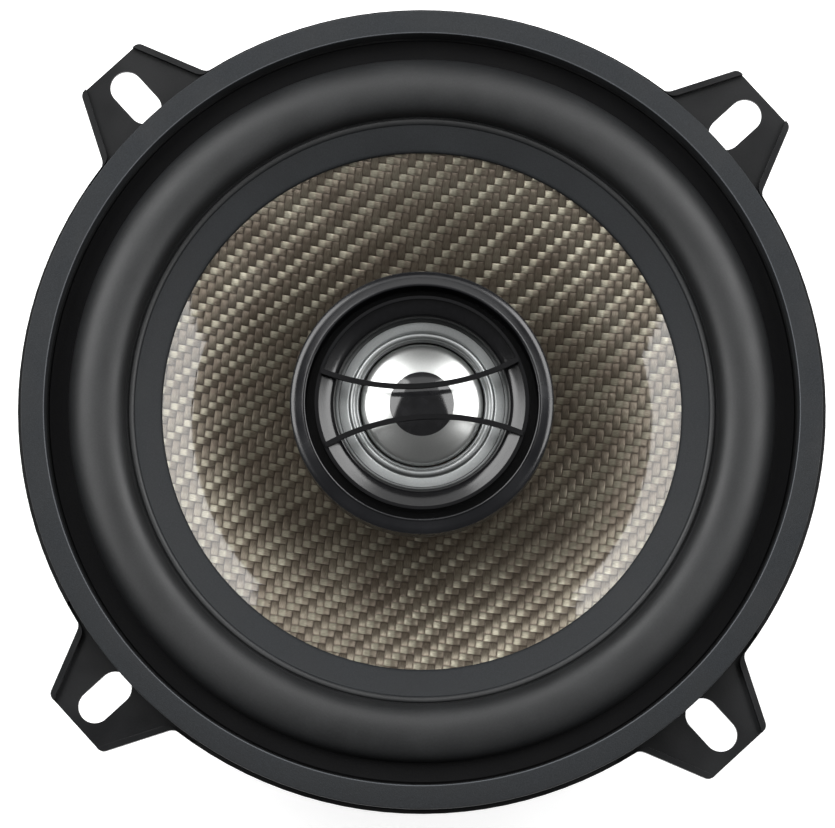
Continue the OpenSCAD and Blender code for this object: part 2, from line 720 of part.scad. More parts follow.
module terminal_block() {
    flange_bottom = -skirt_depth - 1.2;
    grip = block_t / cos(atan(skirt_slope));
    color([0.08, 0.08, 0.09]) rotate(terminal_turn) difference() {
        union() {
            intersection() {
                rotate_extrude() polygon([[skirt_outside(block_top) + fit_gap, block_top],
                    [block_face, -skirt_depth], [block_face, flange_bottom],
                    [block_face + block_t, flange_bottom], [block_face + block_t, -skirt_depth],
                    [skirt_outside(block_top) + fit_gap + grip, block_top]]);
                sector(block_angle, 2 * rim_r, -rim_r, 0);
            }
            translate([block_face, -block_half_w, block_bottom])
                cube([block_t, 2 * block_half_w, -skirt_depth - block_bottom]);
        }
        block_rivet_places() translate([-sheet_t, 0, 0]) rotate([0, 90, 0])
            cylinder(r = small_rivet_r + fit_gap, h = 3 * block_t);
        blade_rivet_places() translate([-over, 0, 0]) rotate([0, 90, 0])
            cylinder(r = small_rivet_r + fit_gap, h = block_t + 2 * over);
    }
}

module blade(width) {
    tip = 1;
    shoulder_z = block_bottom - blade_len + tip;
    top = tag_z + blade_t;
    translate([block_face - blade_t, 0, 0]) difference() {
        union() {
            rotate([90, 0, 90]) linear_extrude(blade_t)
                polygon([[-width / 2, top], [-width / 2, shoulder_z], [0.7 - width / 2, shoulder_z - tip],
                         [width / 2 - 0.7, shoulder_z - tip], [width / 2, shoulder_z], [width / 2, top]]);
            translate([blade_t - tag_len, -tag_w / 2, tag_z]) cube([tag_len, tag_w, blade_t]);
        }
        translate([-over, 0, blade_rivet_z])
            rotate([0, 90, 0]) cylinder(r = small_rivet_r + fit_gap, h = blade_t + 2 * over);
        translate([-over, 0, block_bottom - blade_len / 2])
            rotate([0, 90, 0]) cylinder(r = blade_hole_r, h = blade_t + 2 * over);
    }
}

module blade_positive() {
    color("gold") rotate(terminal_turn) translate([0, -blade_side, 0]) blade(wide_blade_w);
}

module blade_negative() {
    color("gold") rotate(terminal_turn) translate([0, blade_side, 0]) blade(narrow_blade_w);
}

// A tubular rivet along X from x = 0, with a flat head at each end of its grip
module rivet(grip) {
    translate([-small_head_h, 0, 0]) rotate([0, 90, 0]) {
        cylinder(r = small_head_r, h = small_head_h);
        cylinder(r = small_rivet_r, h = grip + 2 * small_head_h);
        translate([0, 0, grip + small_head_h]) cylinder(r = small_head_r, h = small_head_h);
    }
}

module block_rivets() {
    color("silver") rotate(terminal_turn) block_rivet_places()
        translate([-sheet_t - head_gap, 0, 0]) rivet(sheet_t + block_t + 2 * head_gap);
}

module blade_rivets() {
    color("silver") rotate(terminal_turn) blade_rivet_places()
        translate([-blade_t, 0, 0]) rivet(blade_t + block_t);
}

// --- leads to the cone ---------------------------------------------------------------

anchor_sin = cone_sin(anchor_r);
anchor_cos = sqrt(1 - anchor_sin * anchor_sin);
anchor_z = cone_z(anchor_r) - cone_t / anchor_cos;  // rear face of the cone

module tinsel_lead(side) {
    x = anchor_r * cos(anchor_turn);
    y = anchor_r * sin(anchor_turn);
    z = anchor_z - anchor_t - tinsel_d;
    color("goldenrod") rotate(terminal_turn) mirror([0, side, 0]) tube([
        [block_face - tag_len - fit_gap, blade_side, tag_z + blade_t / 2],
        [47.4, 7.5, tag_z + 0.3], [44.8, 7.4, tag_z - 0.7], [42.2, 7.3, tag_z - 1.9],
        [39.4, 7.2, tag_z - 2.6], [36.6, 7, tag_z - 2.7], [33.8, 6.8, tag_z - 2.2],
        [31, 6.6, tag_z - 1.2], [28.4, 6.4, z - 1.2], [26, y + 0.2, z - 0.3], [x, y, z]], tinsel_d);
}

module tinsel_lead_positive() { tinsel_lead(1); }
module tinsel_lead_negative() { tinsel_lead(0); }

module lead_anchors() {
    color("saddlebrown") rotate(terminal_turn) for (side = [-1, 1])
        rotate(side * anchor_turn) translate([anchor_r, 0, anchor_z - head_gap])
            rotate([0, -asin(anchor_sin), 0]) translate([0, 0, -anchor_t])
                cylinder(d = anchor_d, h = anchor_t);
}

// --- crossover -----------------------------------------------------------------------

module at_capacitor() {
    rotate(cap_turn) translate([cap_axis_r, 0, cap_z]) rotate([-90, 0, 0]) children();
}

module capacitor() {
    groove = 0.35;
    bevel = 0.5;
    end = cap_len / 2;
    color([0.1, 0.12, 0.2]) at_capacitor() rotate_extrude()
        polygon([[0, -end], [cap_r - bevel, -end], [cap_r, bevel - end], [cap_r, end - 2],
                 [cap_r - groove, end - 1.7], [cap_r - groove, end - 1.3], [cap_r, end - 1],
                 [cap_r, end - bevel], [cap_r - bevel, end], [0, end]]);
}

module capacitor_cradle() {
    w = cap_len * 0.6;
    back = leg_outside(cap_z);
    color([0.08, 0.08, 0.09]) difference() {
        rotate(cap_turn) translate([back - cap_r, -w / 2, cap_z - cap_r])
            cube([cap_axis_r - back + cap_r * 0.7, w, cap_d]);
        at_capacitor() translate([0, 0, -cap_len])
            cylinder(r = cap_r + fit_gap, h = 2 * cap_len);
        translate([0, 0, -ledge_depth]) cylinder(r1 = leg_outside(-ledge_depth) + fit_gap,
            r2 = leg_outside(-skirt_depth) + fit_gap, h = leg_drop);
    }
}

module capacitor_strap() {
    inner = cap_r + fit_gap;
    color([0.9, 0.9, 0.88]) at_capacitor()
        intersection() {
            ring(inner, inner + strap_t, -strap_w / 2, strap_w / 2);
            translate([cap_r * 0.7 + fit_gap - cap_r * 0.3 + 0.2, -cap_d, -cap_d]) cube(2 * cap_d);
        }
}

module capacitor_lead_in() {
    color("silver") rotate(terminal_turn) tube([
        cap_end + [0.05, 0.05, cap_lead_gap], cap_end + [1.2, 1.3, cap_lead_gap],
        cap_end + [2.6, 3.6, 1.5], cap_end + [4, 6.8, 1.6], cap_end + [5.6, 10.6, 1.4],
        cap_end + [7, 14.6, 1], cap_end + [8.2, 18.2, 0.6],
        [block_face - tag_len * 0.7, -blade_side - 1.2, tag_z - cap_wire_d / 2 - 0.3],
        [block_face - tag_len * 0.6, -blade_side + 0.6, tag_z - cap_wire_d / 2 - fit_gap]],
        cap_wire_d);
}

splice_start = cap_end + [2.6, 3.4, -2.2];
splice_end = cap_end + [3.6, 9, -4.4];

module capacitor_lead_out() {
    color("silver") rotate(terminal_turn) tube([
        cap_end + [0.05, 0.05, -cap_lead_gap], cap_end + [1, 1.2, -cap_lead_gap],
        cap_end + [1.9, 2.3, -1.6], splice_start], cap_wire_d);
}

module splice_sleeve() {
    color([0.1, 0.1, 0.1]) rotate(terminal_turn) tube([splice_start,
        splice_start + (splice_end - splice_start) / 3,
        splice_start + (splice_end - splice_start) * 2 / 3, splice_end], sleeve_d);
}

// From the tweeter down the post, across the back and up the side of the magnet
module tweeter_lead(side, finish) {
    y = side * wire_side;
    floor_z = back_z + wire_d / 2 + 0.35;
    rotate(terminal_turn) tube(concat([
        [0, y, yoke2_floor - 0.4], [0, y, holder_base], [0, y, pole_top], [0, y, nut_top],
        [0.05, y, floor_z + 1.4], [0.45, y, floor_z + 0.5], [1.3, y * 0.8, floor_z],
        [4, y * 0.65, floor_z], [recess_r, y * 0.65, floor_z], [back_plate_r, y * 0.65, floor_z],
        [reach - 1.2, y * 0.65, floor_z + 0.2], [reach - 0.3, y * 0.65, floor_z + 1],
        [reach, y * 0.65, floor_z + 2.4], [reach, y * 0.65, magnet_bottom + magnet_t / 2],
        [reach, y * 0.65, plate_bottom], [reach + 0.4, y * 1.2, plate_top]], finish), wire_d);
}

module tweeter_lead_positive() {
    color("firebrick") tweeter_lead(-1, [
        [reach + 1, -3.4, plate_top + 3], [reach + 1.6, -7, plate_top + 5.5],
        [reach + 1.8, -11.4, plate_top + 8], splice_end + [-0.1, 3.6, -1.8], splice_end]);
}

module tweeter_lead_negative() {
    color([0.1, 0.1, 0.1]) tweeter_lead(1, [
        [reach + 1.6, 3, plate_top + 4], [reach + 3.2, 4.4, plate_top + 8],
        [reach + 5, 5.6, plate_top + 11.6], [reach + 7, 6.6, plate_top + 14.4],
        [block_face - tag_len * 0.7, blade_side, tag_z - wire_d / 2 - 0.2]]);
}

module lead_clip() {
    mid = magnet_bottom + magnet_t / 2;
    h = 4;
    slot = wire_d + 0.2;
    color([0.08, 0.08, 0.09]) rotate(terminal_turn) difference() {
        translate([magnet_r - 0.6, -4, mid - h / 2]) cube([3.4, 8, h]);
        translate([0, 0, mid - h]) cylinder(r = magnet_r + fit_gap, h = 2 * h);
        translate([reach - slot / 2, -slot - 0.1, mid - h]) cube([slot, 2 * slot + 0.2, 2 * h]);
    }
}

// --- nodes ---------------------------------------------------------------------------

frame();
trim_ring();
surround();
cone();
coil_former();
coil_winding();
spider();
top_plate();
magnet();
yoke();
frame_rivets();
tweeter_post();
post_nut();
tweeter_holder();
tweeter_front();
tweeter_guard();
tweeter_surround();
tweeter_dome();
dome_disc();
tweeter_coil();
felt_pad();
tweeter_plate();
tweeter_magnet();
tweeter_yoke();
terminal_block();
blade_positive();
blade_negative();
block_rivets();
blade_rivets();
tinsel_lead_positive();
tinsel_lead_negative();
lead_anchors();
capacitor();
capacitor_cradle();
capacitor_strap();
capacitor_lead_in();
capacitor_lead_out();
splice_sleeve();
tweeter_lead_positive();
tweeter_lead_negative();
lead_clip();
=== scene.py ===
# %% [markdown]
# # A coaxial car speaker
# The speaker arrives as an exact assembly from CAD: frame, motor, cone, tweeter. This script
# gives it its looks. Round parts that face the listener are turned again as fine meshes, the
# soft parts are made so that they can flex, and every piece gets a material built from nodes.
# Lengths below are in millimetres and become metres in one place, when a mesh is made.

import math

import bmesh
import bpy
from mathutils import Matrix, Vector
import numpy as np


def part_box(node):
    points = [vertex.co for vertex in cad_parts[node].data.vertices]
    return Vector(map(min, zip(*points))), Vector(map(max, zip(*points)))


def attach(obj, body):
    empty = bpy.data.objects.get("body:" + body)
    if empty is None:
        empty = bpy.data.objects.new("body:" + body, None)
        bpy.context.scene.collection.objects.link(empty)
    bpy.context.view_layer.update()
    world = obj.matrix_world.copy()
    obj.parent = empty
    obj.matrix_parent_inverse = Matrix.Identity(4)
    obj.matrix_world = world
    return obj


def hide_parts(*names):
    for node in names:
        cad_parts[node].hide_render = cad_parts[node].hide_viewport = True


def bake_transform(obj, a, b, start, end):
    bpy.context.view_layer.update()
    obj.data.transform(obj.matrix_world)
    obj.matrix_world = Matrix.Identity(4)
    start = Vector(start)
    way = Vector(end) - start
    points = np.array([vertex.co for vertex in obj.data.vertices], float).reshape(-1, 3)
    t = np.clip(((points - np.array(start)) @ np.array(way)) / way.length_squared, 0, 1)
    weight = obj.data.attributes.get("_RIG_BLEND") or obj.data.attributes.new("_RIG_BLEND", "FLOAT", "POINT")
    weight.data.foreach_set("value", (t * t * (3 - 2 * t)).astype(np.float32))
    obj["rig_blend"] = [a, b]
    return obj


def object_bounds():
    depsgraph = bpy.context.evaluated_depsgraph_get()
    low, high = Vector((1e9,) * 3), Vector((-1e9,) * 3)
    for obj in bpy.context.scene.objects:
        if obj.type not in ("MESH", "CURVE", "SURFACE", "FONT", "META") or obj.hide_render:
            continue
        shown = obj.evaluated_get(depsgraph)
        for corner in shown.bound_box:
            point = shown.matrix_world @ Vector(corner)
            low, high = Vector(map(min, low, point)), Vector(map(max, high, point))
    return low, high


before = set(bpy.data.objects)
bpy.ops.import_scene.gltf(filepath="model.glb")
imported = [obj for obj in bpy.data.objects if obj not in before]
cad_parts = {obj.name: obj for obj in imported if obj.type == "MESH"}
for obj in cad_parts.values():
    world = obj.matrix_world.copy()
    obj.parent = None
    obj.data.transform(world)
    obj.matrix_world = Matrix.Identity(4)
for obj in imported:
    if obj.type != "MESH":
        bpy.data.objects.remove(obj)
cad_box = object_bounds()
MM = 0.001
print(len(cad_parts), "parts, overall size in mm",
      [round((b - a) / MM, 1) for a, b in zip(*cad_box)])

# %% [markdown]
# ## Measuring the parts
# A replacement has to fit where its original sat. All the round parts share one axis, so four
# numbers say most of what is needed: inner and outer radius, bottom and top. They are read from
# the CAD meshes, so that a change of size in the CAD carries through to the looks.


# %% Inner and outer radius, bottom and top of a part
def size_of(node):
    points = [v.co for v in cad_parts[node].data.vertices]
    radii = [math.hypot(p.x, p.y) / MM for p in points]
    heights = [p.z / MM for p in points]
    return min(radii), max(radii), min(heights), max(heights)


def underside_at(node, radius, reach=0.3):
    return min(v.co.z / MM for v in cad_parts[node].data.vertices
               if abs(math.hypot(v.co.x, v.co.y) / MM - radius) < reach)


RING_IN, RING_OUT, FLANGE, RING_TOP = size_of("trim_ring")
CUFF_IN, LAND_OUT, _, _ = size_of("surround")
NECK_IN, CONE_OUT, NECK_LOW, CONE_TOP = size_of("cone")
SPIDER_IN, SPIDER_OUT, _, SPIDER_TOP = size_of("spider")
HOLDER_IN, HOLDER_OUT, HOLDER_LOW, HOLDER_TOP = size_of("tweeter_holder")
BOWL_IN, CAPSULE_OUT, DECK_LOW, FRONT_TOP = size_of("tweeter_front")
DOME_OUT = size_of("tweeter_dome")[1]
DISC_OUT = size_of("dome_disc")[1]
RIM_IN, SILVER_OUT, _, SILVER_TOP = size_of("tweeter_surround")
FLOOR_Z = cad_box[0].z / MM
print(f"trim ring {RING_IN:.2f} to {RING_OUT:.2f}, cone edge {CONE_OUT:.2f}, holder {HOLDER_OUT:.2f}")

# %% [markdown]
# ## The camera
# A speaker is looked at nearly along its axis. The camera stands a little below, so that the
# tweeter, which is nearer, shifts up against the cone. The lens is long, as for a catalogue
# picture. The speaker is turned so that its ears lie near the picture's diagonals.

# %% Place the camera
VIEW_TURN = math.radians(-132.4)
VIEW_RISE = math.radians(84.3)
DISTANCE = 800.0
PICTURE_W = 134.3
IMAGE_RIGHT = Vector((-math.sin(VIEW_TURN), math.cos(VIEW_TURN), 0))
IMAGE_UP = Vector((-math.cos(VIEW_TURN), -math.sin(VIEW_TURN), 0))
RIM_Z = 2.2
toward_camera = Vector((math.cos(VIEW_TURN) * math.cos(VIEW_RISE),
                        math.sin(VIEW_TURN) * math.cos(VIEW_RISE), math.sin(VIEW_RISE)))
aim = Vector((0, 0, RIM_Z)) - IMAGE_RIGHT * 0.7 - IMAGE_UP * 0.87
camera_data = bpy.data.cameras.new("camera")
SENSOR = 36
camera_data.sensor_width = SENSOR
camera_data.lens = SENSOR * DISTANCE / PICTURE_W
camera_data.clip_start = 0.05
camera_data.clip_end = 20
camera = bpy.data.objects.new("camera", camera_data)
bpy.context.scene.collection.objects.link(camera)
camera.location = (aim + toward_camera * DISTANCE) * MM
camera.rotation_mode = "QUATERNION"
camera.rotation_quaternion = (-toward_camera).to_track_quat("-Z", "Y")
bpy.context.scene.camera = camera
print(f"lens {camera_data.lens:.0f} mm at {DISTANCE:.0f} mm")

# %% [markdown]
# ## The light
# Two large softboxes stand left and right, high enough that the glossy cone mirrors each one in
# its opposite side as a crescent. A weaker panel overhead gives the upper edges their shine. A
# wide fill panel lifts the matt parts, and is kept out of mirror images so that the dome stays
# clean. The world gives the faint glow of a white room. The floor is white board, lit from
# within so that it stays pale under the speaker.


# %% A softbox
def softbox(name, turn, off_axis, distance, width, height, power):
    """turn is counted from the picture's right, anticlockwise; off_axis from the speaker's axis"""
    side = IMAGE_RIGHT * math.cos(turn) + IMAGE_UP * math.sin(turn)
    outward = (side * math.sin(off_axis) + Vector((0, 0, math.cos(off_axis)))).normalized()
    data = bpy.data.lights.new(name, "AREA")
    data.shape = "RECTANGLE"
    data.size, data.size_y = width * MM, height * MM
    data.energy = power
    lamp = bpy.data.objects.new(name, data)
    bpy.context.scene.collection.objects.link(lamp)
    lamp.location = outward * distance * MM
    across = Vector((-side.y, side.x, 0))
    up = outward.cross(across)
    lamp.matrix_world = Matrix((
        (across.x, up.x, outward.x, lamp.location.x),
        (across.y, up.y, outward.y, lamp.location.y),
        (across.z, up.z, outward.z, lamp.location.z),
        (0, 0, 0, 1)))
    return lamp


# %% Two softboxes, a panel overhead and a fill panel
for name, turn in (("softbox_right", 22), ("softbox_left", 155)):
    softbox(name, math.radians(turn), math.radians(39), 900, 735, 376, 6.0)
softbox("panel_overhead", math.radians(90), math.radians(27), 1300, 1000, 460, 2.1)
fill = softbox("panel_top", math.radians(95), math.radians(50), 1100, 900, 560, 10)
fill.visible_glossy = False

# %% A dim white world
world = bpy.data.worlds.new("white_room")
world.use_nodes = True
sky = world.node_tree.nodes["Background"]
sky.inputs["Color"].default_value = (1, 1, 1, 1)
sky.inputs["Strength"].default_value = 0.12
bpy.context.scene.world = world
bpy.context.scene.view_settings.view_transform = "Standard"

# %% White floor
FLOOR_GAP = 0.3
FLOOR_HALF_M = 3
floor_mesh = bmesh.new()
bmesh.ops.create_grid(floor_mesh, x_segments=8, y_segments=8, size=FLOOR_HALF_M)
floor_data = bpy.data.meshes.new("floor")
floor_mesh.to_mesh(floor_data)
floor = bpy.data.objects.new("floor", floor_data)
floor.location.z = (FLOOR_Z - FLOOR_GAP) * MM
bpy.context.scene.collection.objects.link(floor)
board = bpy.data.materials.new("white_board")
board.use_nodes = True
paper = board.node_tree.nodes["Principled BSDF"]
paper.inputs["Base Color"].default_value = (0.85, 0.85, 0.85, 1)
paper.inputs["Roughness"].default_value = 0.9
paper.inputs["Specular IOR Level"].default_value = 0.1
paper.inputs["Emission Color"].default_value = (1, 1, 1, 1)
paper.inputs["Emission Strength"].default_value = 0.6
floor_data.materials.append(board)
print("4 lamps, a dim white world and a floor", round(FLOOR_GAP - FLOOR_Z, 1), "mm under the flange")

# %% [markdown]
# ## A small kit for materials
# Blender's materials are graphs of nodes. A few short helpers keep the graphs readable: one
# starts a material, one adds a node with its inputs, one adds a sum or product, and others add
# a grain, a colour ramp or a relief. Textures take their place from the part itself, in metres,
# so a grain of 0.2 mm is 0.2 mm everywhere.


# %% Start a material, add a node, do a sum
def start_material(name, color, metallic=0.0, roughness=0.5, **extra):
    """The assembly brings a plain material for each finish, and its nodes are made anew here"""
    material = bpy.data.materials.get(name) or bpy.data.materials.new(name)
    material.use_nodes = True
    nodes = material.node_tree.nodes
    nodes.clear()
    shader = nodes.new("ShaderNodeBsdfPrincipled")
    output = nodes.new("ShaderNodeOutputMaterial")
    material.node_tree.links.new(shader.outputs[0], output.inputs["Surface"])
    shader.inputs["Base Color"].default_value = (*color, 1)
    shader.inputs["Metallic"].default_value = metallic
    shader.inputs["Roughness"].default_value = roughness
    for socket, value in extra.items():
        shader.inputs[socket.replace("_", " ")].default_value = value
    return material


def node(material, kind, inputs=None, **settings):
    made = material.node_tree.nodes.new(kind)
    for key, value in settings.items():
        setattr(made, key, value)
    for socket, value in (inputs or {}).items():
        if isinstance(value, bpy.types.NodeSocket):
            material.node_tree.links.new(value, made.inputs[socket])
        else:
            made.inputs[socket].default_value = value
    return made


def calc(material, operation, first, second=0.0):
    return node(material, "ShaderNodeMath", {0: first, 1: second}, operation=operation).outputs[0]


def spread(material, value, low, high, to_low, to_high):
    return node(material, "ShaderNodeMapRange",
                {0: value, 1: low, 2: high, 3: to_low, 4: to_high}).outputs[0]


# %% Place, grain, colour and relief
def own_place(material):
    return node(material, "ShaderNodeTexCoord").outputs["Object"]


def from_axis(material, parts):
    """Distance from the speaker's axis"""
    x, y = parts.outputs[0], parts.outputs[1]
    return calc(material, "SQRT", calc(material, "ADD", calc(material, "MULTIPLY", x, x),
                                       calc(material, "MULTIPLY", y, y)))


def grain(material, size, detail):
    """Noise whose lumps are about size millimetres across"""
    return node(material, "ShaderNodeTexNoise", {"Vector": own_place(material),
                "Scale": 1 / (size * MM), "Detail": detail}).outputs["Fac"]


def tint(material, value, stops):
    ramp = node(material, "ShaderNodeValToRGB", {0: value})
    first, last = ramp.color_ramp.elements
    first.position, last.position = stops[0][0], stops[-1][0]
    first.color, last.color = (*stops[0][1], 1), (*stops[-1][1], 1)
    for place, color in stops[1:-1]:
        ramp.color_ramp.elements.new(place).color = (*color, 1)
    return ramp.outputs["Color"]


def wire(material, socket, value):
    shader = material.node_tree.nodes["Principled BSDF"]
    material.node_tree.links.new(value, shader.inputs[socket])


def relief(material, height, depth):
    """A bump whose full height is depth millimetres"""
    return node(material, "ShaderNodeBump",
                {"Height": height, "Distance": depth * MM}).outputs["Normal"]


# %% [markdown]
# ## Plain finishes
# Most parts are moulded plastic, rubber, paint or bare metal. Each is a base colour with a fine
# grain, in two sizes: small lumps for the surface itself, and broad soft patches that vary the
# gloss, because no real surface is equally polished all over.


# %% Moulded, painted and sprayed surfaces
def grained(name, color, roughness, lump, depth, vary=0.15, metallic=0.0, lighter=1.35, **extra):
    material = start_material(name, color, metallic, roughness, **extra)
    fine = grain(material, lump, 3)
    broad = grain(material, 9, 2)
    light = tuple(min(1, c * lighter) for c in color)
    dark = tuple(c / lighter for c in color)
    mixed = calc(material, "ADD", calc(material, "MULTIPLY", fine, 0.65),
                 calc(material, "MULTIPLY", broad, 0.35))
    wire(material, "Base Color", tint(material, mixed, [(0.32, dark), (0.5, color), (0.68, light)]))
    wire(material, "Roughness", spread(material, broad, 0.3, 0.7, roughness - vary / 2,
                                       roughness + vary / 2))
    wire(material, "Normal", relief(material, fine, depth))
    return material


PAINT = grained("frame_paint", (0.0035, 0.0038, 0.0044), 0.4, 0.35, 0.012,
                Specular_IOR_Level=0.32)
# the trim ring's inner edge, painted lighter: a painted highlight for the bright line it catches
TRIM_EDGE_HIGHLIGHT = grained("trim_edge_painted_highlight", (0.05, 0.054, 0.06), 0.5, 0.22, 0.02, lighter=1.3)
TRIM = grained("trim_foam", (0.0105, 0.0122, 0.0142), 0.78, 0.22, 0.05, lighter=1.6)
RUBBER = grained("surround_rubber", (0.0125, 0.0131, 0.0137), 0.48, 0.3, 0.008, vary=0.08)
CUFF = grained("cuff_rubber", (0.0092, 0.0106, 0.0122), 0.66, 0.22, 0.02, vary=0.08, lighter=1.5,
               Specular_IOR_Level=0.4)
# the surround's flat rim, painted much darker than the rubber: painted shade for its deep recess
LAND_SHADE = grained("land_rubber_painted_shade", (0.0025, 0.0025, 0.0028), 0.8, 0.4, 0.03, vary=0.1,
               Specular_IOR_Level=0.15)
HOLDER = grained("holder_plastic", (0.006, 0.0062, 0.0072), 0.21, 0.16, 0.004)
GUARD = grained("guard_plastic", (0.003, 0.003, 0.0035), 0.55, 0.16, 0.006,
                Specular_IOR_Level=0.12)
BOWL = grained("front_plastic", (0.004, 0.004, 0.0045), 0.16, 0.6, 0.002, vary=0.06)
BLOCK = grained("block_plastic", (0.016, 0.016, 0.017), 0.5, 0.2, 0.012)
POST = grained("post_plastic", (0.018, 0.018, 0.02), 0.45, 0.2, 0.012)
DISC = grained("disc_black", (0.012, 0.012, 0.013), 0.1, 1.2, 0.001, vary=0.05)
FELT = grained("felt", (0.05, 0.05, 0.05), 0.95, 0.12, 0.12, lighter=1.8)
FERRITE = grained("ferrite", (0.035, 0.035, 0.038), 0.62, 0.3, 0.03, lighter=1.5)
GLUE = grained("glue", (0.09, 0.035, 0.012), 0.2, 1.5, 0.03)
CAN = grained("capacitor_sleeve", (0.012, 0.02, 0.06), 0.3, 1.0, 0.01)
NYLON = grained("strap_nylon", (0.62, 0.62, 0.58), 0.5, 0.3, 0.008, lighter=1.1)
SHRINK = grained("shrink_black", (0.012, 0.012, 0.012), 0.55, 0.3, 0.02)
RED = grained("red_wire", (0.25, 0.012, 0.01), 0.35, 0.4, 0.004)
BLACK = grained("black_wire", (0.012, 0.012, 0.012), 0.35, 0.4, 0.004)
FORMER = grained("former_film", (0.32, 0.13, 0.03), 0.3, 0.8, 0.004)


# %% [markdown]
# ## Metal
# Plates, rivets and blades are turned, punched or tinned, and turning leaves fine rings about
# the axis. They could be cut as real grooves, but they lie a tenth of a millimetre apart, so a
# noise that runs along each ring gives the same gleam on a light mesh. The dome and its rim are
# drawn foil without rings, so they take the plain grain with a metal shader.


# %% Turned, plated and drawn metal
def turned(name, color, roughness, groove, depth):
    """Metal with fine rings left by turning, about the speaker's axis"""
    material = start_material(name, color, 1.0, roughness)
    parts = node(material, "ShaderNodeSeparateXYZ", {0: own_place(material)})
    rings_at = node(material, "ShaderNodeCombineXYZ",
                    {0: calc(material, "MULTIPLY", from_axis(material, parts), 1 / (groove * MM)),
                     1: calc(material, "MULTIPLY", parts.outputs[2], 1 / (groove * MM))}).outputs[0]
    rings = node(material, "ShaderNodeTexNoise",
                 {"Vector": rings_at, "Scale": 1, "Detail": 2}).outputs["Fac"]
    patches = grain(material, 6, 3)
    dark = tuple(c * 0.8 for c in color)
    wire(material, "Base Color", tint(material, patches, [(0.3, dark), (0.7, color)]))
    wire(material, "Roughness", spread(material, rings, 0.3, 0.7, roughness - 0.06,
                                       roughness + 0.06))
    wire(material, "Normal", relief(material, rings, depth))
    return material


STEEL = turned("steel", (0.33, 0.335, 0.345), 0.36, 0.12, 0.006)
RIVET = turned("rivet_steel", (0.45, 0.45, 0.45), 0.3, 0.2, 0.003)
SILVER = grained("dome_silver", (0.56, 0.57, 0.56), 0.3, 0.3, 0.0006, vary=0.05, metallic=1.0,
                 lighter=1.04)
ROLL = grained("roll_silver", (0.29, 0.30, 0.30), 0.42, 0.3, 0.002, vary=0.06, metallic=1.0,
               lighter=1.08)
NEODYMIUM = turned("neodymium", (0.62, 0.60, 0.56), 0.25, 0.3, 0.001)
TINNED = turned("tinned_brass", (0.66, 0.58, 0.36), 0.3, 0.3, 0.002)
WIRE = turned("tinned_wire", (0.66, 0.66, 0.65), 0.28, 0.3, 0.002)
print("steel, rivets, silver, silver roll, magnet, brass and wire")

# %% [markdown]
# ## The woven cone
# The cone is a cloth of flat glass yarns in a two-over, two-under twill, pressed to shape in
# resin and lacquered. The cloth is woven flat, so its squares stay a flat grid as seen along the
# axis, whatever the slope. The pattern is arithmetic: the whole-number parts of a place say
# which two yarns cross there, their difference says which one is on top, and the fractions say
# how far along and across that yarn the place is.


